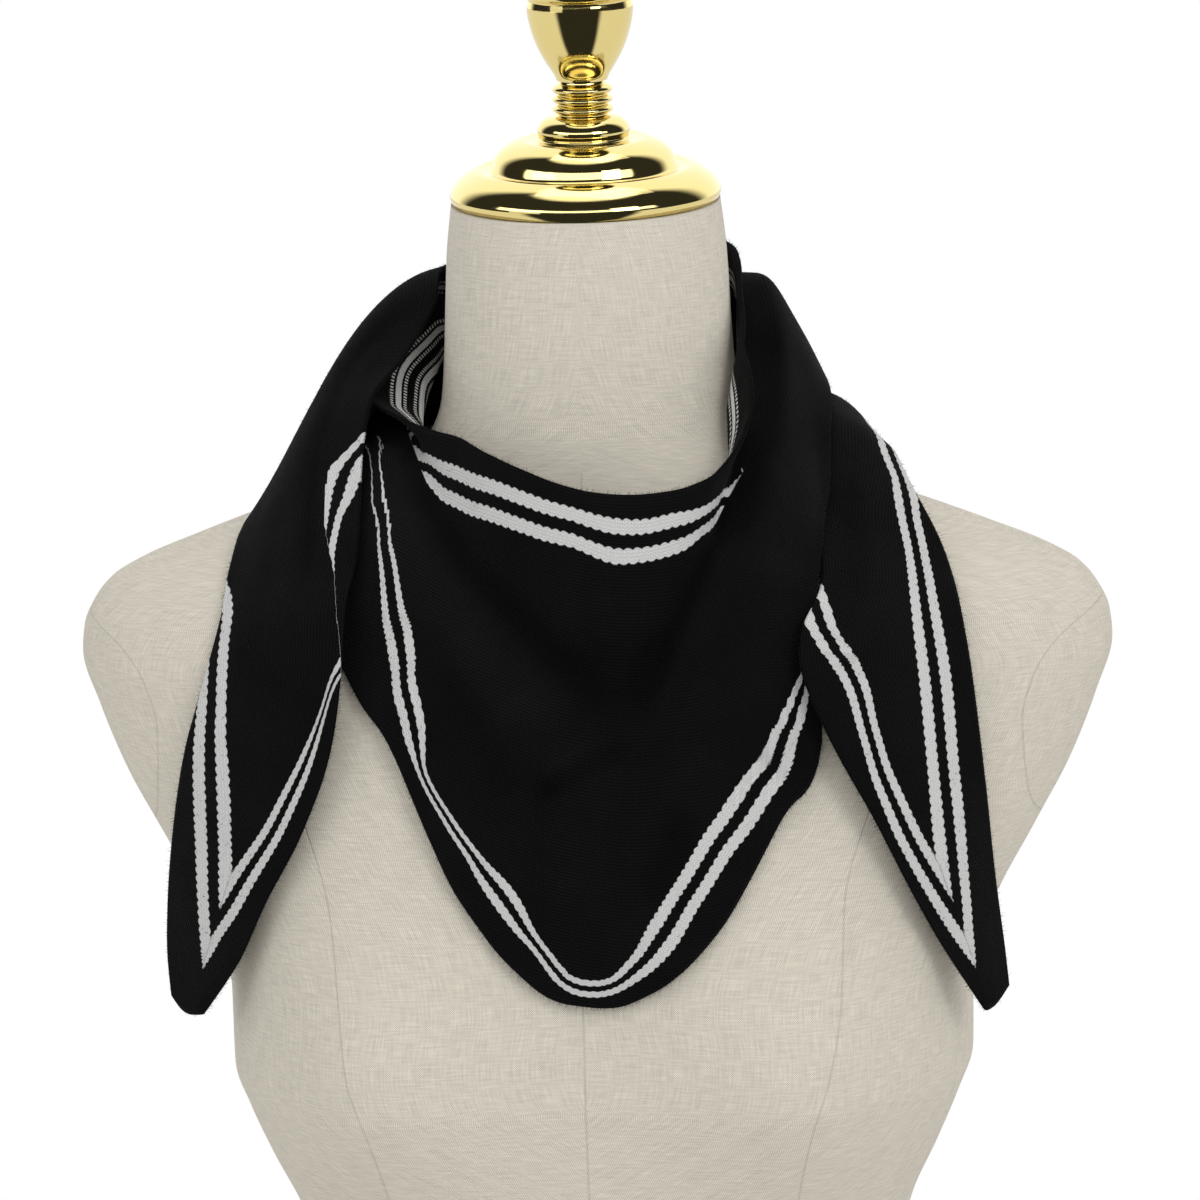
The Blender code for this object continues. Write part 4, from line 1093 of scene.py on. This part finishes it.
outerField, _ = stripeField(nearOuter, endGrid[:, -1], alongOuter, endPlaces, "rightOuter")
endField = np.minimum(innerField, outerField)
endAlong = np.where(innerField < outerField, alongInner, alongOuter)
endPlain = np.minimum(nearInner, nearOuter)


def makeKnit(name, reverse):
    material, tree, shader = newMaterial(name)
    distance = readAttribute(tree, "plainDistance" if reverse else "edgeDistance")
    along = readAttribute(tree, "alongEdge")
    u, v, _ = partsOf(outputOf(tree, "ShaderNodeUVMap", "UV", uv_map="knit"))
    place = outputOf(tree, "ShaderNodeTexCoord", "Object")
    fuzz = noiseOf(place, 900.0, 3.0, 0.65)
    broad = noiseOf(place, 45.0, 3.0)
    stripes = useGroup(tree, edgeStripes, {
        "Distance": distance + (fuzz * 0.5 - 0.25), "Along": along,
        "Half Width": readAttribute(tree, "stripeWidth") * pattern["halfWidth"]})
    if reverse:
        # on the reverse a stripe shows as a thin line between two rows of dots
        off = abs(stripes["Off Middle"])
        core = ramp(off, 0.95, 1.25, 1.0, 0.0)
        sideLine = ramp(abs(off - 2.65), 0.5, 0.75, 1.0, 0.0)
        dots = ramp(sums("SINE", along * (2 * math.pi / 1.9)), -0.35, 0.25)
        mask = sums("MAXIMUM", core, sideLine * dots)
    else:
        mask = stripes["Mask"] * ramp(readAttribute(tree, "shown"), -0.25, 0.25)
    loops = useGroup(tree, knitLoops, {"Along": along, "Across": distance})["Height"]
    ground = useGroup(tree, knitLoops, {"Along": u * 1000.0, "Across": v * 1000.0})["Height"]
    # painted shade: the white is darker where its loops sink and the black where the ground's loops sink, in
    # the hollows of the knit; the black also varies at random over wider patches
    white = shadeOf(surface["white"], ramp(loops, 0.0, 0.7, 0.80, 1.0, "LINEAR"))
    shade = ramp(ground, 0.0, 1.0, 0.45, 1.6, "LINEAR") * ramp(broad, 0.3, 0.7, 0.85, 1.2, "LINEAR")
    # painted shade and highlight: the black is darker in the creases' troughs and lighter on their ridges,
    # following the crease height
    black = shadeOf(surface["black"], shade * ramp(readAttribute(tree, "creaseHeight"), -1.6, 1.4, 0.45, 1.4))
    setInputs(shader, {
        "Base Color": mixColors(tree, mask, black, white), "Roughness": 0.92, "Specular IOR Level": 0.07,
        "Sheen Weight": 0.028, "Sheen Roughness": 0.45})
    bumpInto(shader, loops * mask + ground * (1.0 - mask) + fuzz * 0.8, 0.7, 0.00035)
    return material


knitFace = makeKnit("black knit, right side", False)
knitReverse = makeKnit("black knit, reverse", True)


def makeWall(grid, name, attributes):
    # the sheet given its thickness, thinner at its two long edges
    sections, rows, _ = grid.shape
    piece = newMesh(name, grid.reshape(-1, 3), gridFaces(grid))
    for attribute, values in attributes.items():
        addAttribute(piece, attribute, values)
    u = runOf(grid[:, rows // 2])
    layer = piece.data.uv_layers.new(name="knit")
    index = np.zeros(len(piece.data.loops), int)
    piece.data.loops.foreach_get("vertex_index", index)
    uv = np.stack([u[index // rows], runAcross(grid).ravel()[index]], axis=1) * mm
    layer.data.foreach_set("uv", uv.ravel())
    rim = piece.vertex_groups.new(name="wall")
    for r in range(rows):
        width = surface["thinEdge"] if r in (0, rows - 1) else 1.0
        rim.add([s * rows + r for s in range(sections)], width, "REPLACE")
    piece.data.materials.append(knitFace)
    piece.data.materials.append(knitReverse)
    selectOnly(piece)
    solid = piece.modifiers.new("wall", "SOLIDIFY")
    solid.thickness = surface["wall"] * mm
    solid.offset = 0
    solid.vertex_group = "wall"
    solid.material_offset = 1
    bpy.ops.object.modifier_apply(modifier="wall")
    piece.data.shade_smooth()
    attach(piece, root)
    return piece


scarfTurn = makeWall(turnGrid, "scarfTurn", {
    "edgeDistance": turnField, "alongEdge": turnAlong, "plainDistance": turnPlain, "shown": shown,
    "stripeWidth": turnWidth, "creaseHeight": turnPush})
scarfRightEnd = makeWall(endGrid, "scarfRightEnd", {
    "edgeDistance": endField, "alongEdge": endAlong, "plainDistance": endPlain,
    "shown": np.full(endField.shape, limit), "stripeWidth": np.ones(endField.shape), "creaseHeight": endPush})

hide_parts("scarf_front_panel", "scarf_wrap_left", "scarf_wrap_right", "scarf_end_left")
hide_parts("scarf_end_right")
print("scarf made:", len(scarfTurn.data.polygons), len(scarfRightEnd.data.polygons))


# Scarf: loose fibres along its edges and, sparser, over its face

fibres = {
    "edgeSpacing": 0.36, "faceCount": 5200, "length": (1.0, 3.0), "faceLength": (0.6, 1.6), "radius": 0.07,
    "seed": 7,
}


def readLine(values, run, at):
    return np.stack([np.interp(at, run, values[:, k]) for k in range(3)], axis=1)


def edgeRoots(line, inside, chance):
    # roots spread along an edge, each with the way out of the sheet there
    run = runOf(line)
    at = np.arange(0.2, run[-1], fibres["edgeSpacing"])
    at = at + chance.uniform(-0.15, 0.15, len(at))
    outward = readLine(line - inside, run, at)
    return readLine(line, run, at), outward / np.linalg.norm(outward, axis=1, keepdims=True)


def growFibres():
    chance = np.random.default_rng(fibres["seed"])
    roots, ways, lengths = [], [], []
    for grid in (turnGrid, endGrid):
        for line, inside in ((grid[:, 0], grid[:, 1]), (grid[:, -1], grid[:, -2]), (grid[-1], grid[-2])):
            edge, way = edgeRoots(line, inside, chance)
            roots.append(edge - way * 0.3)
            ways.append(way + chance.normal(0, 0.55, way.shape))
            lengths.append(chance.uniform(*fibres["length"], len(way)) * chance.uniform(0.5, 1, len(way)))
    for grid, share in ((turnGrid, 0.8), (endGrid, 0.2)):
        count = int(fibres["faceCount"] * share)
        s = chance.integers(2, len(grid) - 2, count)
        r = chance.integers(2, grid.shape[1] - 2, count)
        out = gridNormals(grid)[s, r]
        roots.append(grid[s, r] + out * (surface["wall"] / 2 - 0.1))
        ways.append(out * 0.5 + chance.normal(0, 0.6, out.shape))
        lengths.append(chance.uniform(*fibres["faceLength"], count))
    roots, ways, lengths = np.concatenate(roots), np.concatenate(ways), np.concatenate(lengths)
    ways /= np.linalg.norm(ways, axis=1, keepdims=True)
    bend = chance.normal(0, 0.35, ways.shape)
    side = np.cross(ways, chance.normal(0, 1, ways.shape))
    side /= np.linalg.norm(side, axis=1, keepdims=True)
    third = np.cross(ways, side)
    middle = roots + ways * lengths[:, None] * 0.5
    tip = middle + (ways + bend) * lengths[:, None] * 0.5
    rings = []
    for centre, radius in ((roots, fibres["radius"]), (middle, fibres["radius"] * 0.8)):
        for turn in range(3):
            angle = turn * 2 * math.pi / 3
            rings.append(centre + radius * (side * math.cos(angle) + third * math.sin(angle)))
    points = np.stack(rings + [tip], axis=1)
    shape = [(0, 1, 4, 3), (1, 2, 5, 4), (2, 0, 3, 5), (3, 4, 6), (4, 5, 6), (5, 3, 6), (2, 1, 0)]
    faces = [tuple(7 * k + v for v in face) for k in range(len(points)) for face in shape]
    return points.reshape(-1, 3), faces


looseFibres = newMesh("looseFibres", *growFibres())
fibreMaterial, _, fibreShader = newMaterial("black fibre")
setInputs(fibreShader, {"Base Color": (0.006, 0.006, 0.0065, 1), "Roughness": 0.9, "Specular IOR Level": 0.1})

looseFibres.data.materials.append(fibreMaterial)
looseFibres.data.shade_smooth()
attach(looseFibres, root)
print("loose fibres grown:", len(looseFibres.data.polygons))


# Floor, light and camera

bpy.ops.object.select_all(action="DESELECT")
bpy.ops.mesh.primitive_plane_add(size=80, location=(0, 0, -0.0005))
floor = bpy.context.object
floor.name = "paleFloor"

floorMaterial, floorTree, floorShader = newMaterial("pale floor")
floorPlace = outputOf(floorTree, "ShaderNodeTexCoord", "Object")
# away from the form the floor looks evenly white to the camera, as a lit studio sweep does
fromMiddle = addNode(floorTree, "ShaderNodeVectorMath", operation="LENGTH")
feed(fromMiddle.inputs[0], floorPlace)
seen = outputOf(floorTree, "ShaderNodeLightPath", "Is Camera Ray")
sweep = seen * ramp(Value(fromMiddle.outputs["Value"]), 0.2, 0.6)
# polished metal shows the floor dark straight in front, where the camera stands, and bright at the sides
mirroredRay = outputOf(floorTree, "ShaderNodeLightPath", "Is Glossy Ray")
floorX, floorY, _ = partsOf(floorPlace)
atSides = ramp(abs(bearingOf(floorX, floorY)), 0.75, 0.98, 0.03, 0.9)
floorShade = mixColors(floorTree, sums("MAXIMUM", sweep, mirroredRay), (0.86, 0.86, 0.86, 1), (0, 0, 0, 1))
setInputs(floorShader, {
    "Base Color": floorShade, "Roughness": 0.9, "Specular IOR Level": 0.0, "Emission Color": (1, 1, 1, 1),
    "Emission Strength": sums("MAXIMUM", sweep, mirroredRay * atSides)})
floor.data.materials.append(floorMaterial)

# soft, even light all round; polished metal mirrors a bright band in front and a bright ceiling and back
world = bpy.data.worlds.new("soft studio")
bpy.context.scene.world = world
world.use_nodes = True
sky = world.node_tree
softLight = 0.62
skyX, skyY, skyZ = partsOf(outputOf(sky, "ShaderNodeTexCoord", "Generated"))
bearing = bearingOf(skyX, skyY)
besides = ramp(abs(bearing), 1.95, 2.35, 0.03, 1.3)
ceiling = ramp(skyZ, 0.90, 0.96, 0.0, 1.5)
window = ramp(abs(skyZ - 0.36), 0.1, 0.13, 2.2, 0.0) * ramp(abs(bearing + 0.1), 1.2, 1.3, 1.0, 0.0)
lowSweep = ramp(skyZ, -0.45, -0.3, 0.6, 0.0)
mirrored = sums("MAXIMUM", sums("MAXIMUM", besides, ceiling), sums("MAXIMUM", window, lowSweep))
glossy = outputOf(sky, "ShaderNodeLightPath", "Is Glossy Ray")
setInputs(sky.nodes["Background"], {
    "Strength": glossy * (mirrored - softLight) + softLight, "Color": (1, 1, 1, 1)})
bpy.context.scene.view_settings.view_transform = "Standard"


def addSoftBox(name, place, size, power):
    lamp = bpy.data.lights.new(name, "AREA")
    lamp.shape = "RECTANGLE"
    lamp.size, lamp.size_y = size
    lamp.energy = power
    holder = bpy.data.objects.new(name, lamp)
    bpy.context.scene.collection.objects.link(holder)
    holder.location = place
    holder.rotation_euler = (Vector((0, 0, 0.4)) - Vector(place)).to_track_quat("-Z", "Y").to_euler()


addSoftBox("keyLight", (1.5, -1.9, 1.6), (1.0, 1.0), 13)
addSoftBox("fillLight", (-1.7, -1.5, 1.1), (1.2, 1.2), 4)
addSoftBox("topLight", (0.1, 0.2, 2.3), (1.4, 1.0), 4)

view = {
    "azimuth": 4.0, "elevation": 8.0, "roll": 1.3, "distance": 2.2, "lens": 174.0,
    "target": (0.002, 0.0, 0.385),
}
camera = bpy.data.objects.new("camera", bpy.data.cameras.new("camera"))
bpy.context.scene.collection.objects.link(camera)
bpy.context.scene.camera = camera
azimuth, elevation, roll = (math.radians(view[k]) for k in ("azimuth", "elevation", "roll"))
back = Vector((math.sin(azimuth) * math.cos(elevation), -math.cos(azimuth) * math.cos(elevation),
               math.sin(elevation)))

side = Vector((0, 0, 1)).cross(back).normalized()
upward = back.cross(side)
side, upward = (math.cos(roll) * side - math.sin(roll) * upward,
                math.sin(roll) * side + math.cos(roll) * upward)
spot = Vector(view["target"]) + view["distance"] * back
camera.matrix_world = Matrix(((side.x, upward.x, back.x, spot.x), (side.y, upward.y, back.y, spot.y),
                              (side.z, upward.z, back.z, spot.z), (0, 0, 0, 1)))
camera.data.lens = view["lens"]
camera.data.sensor_width = 36
camera.data.clip_start = 0.1
print("camera and lights set")
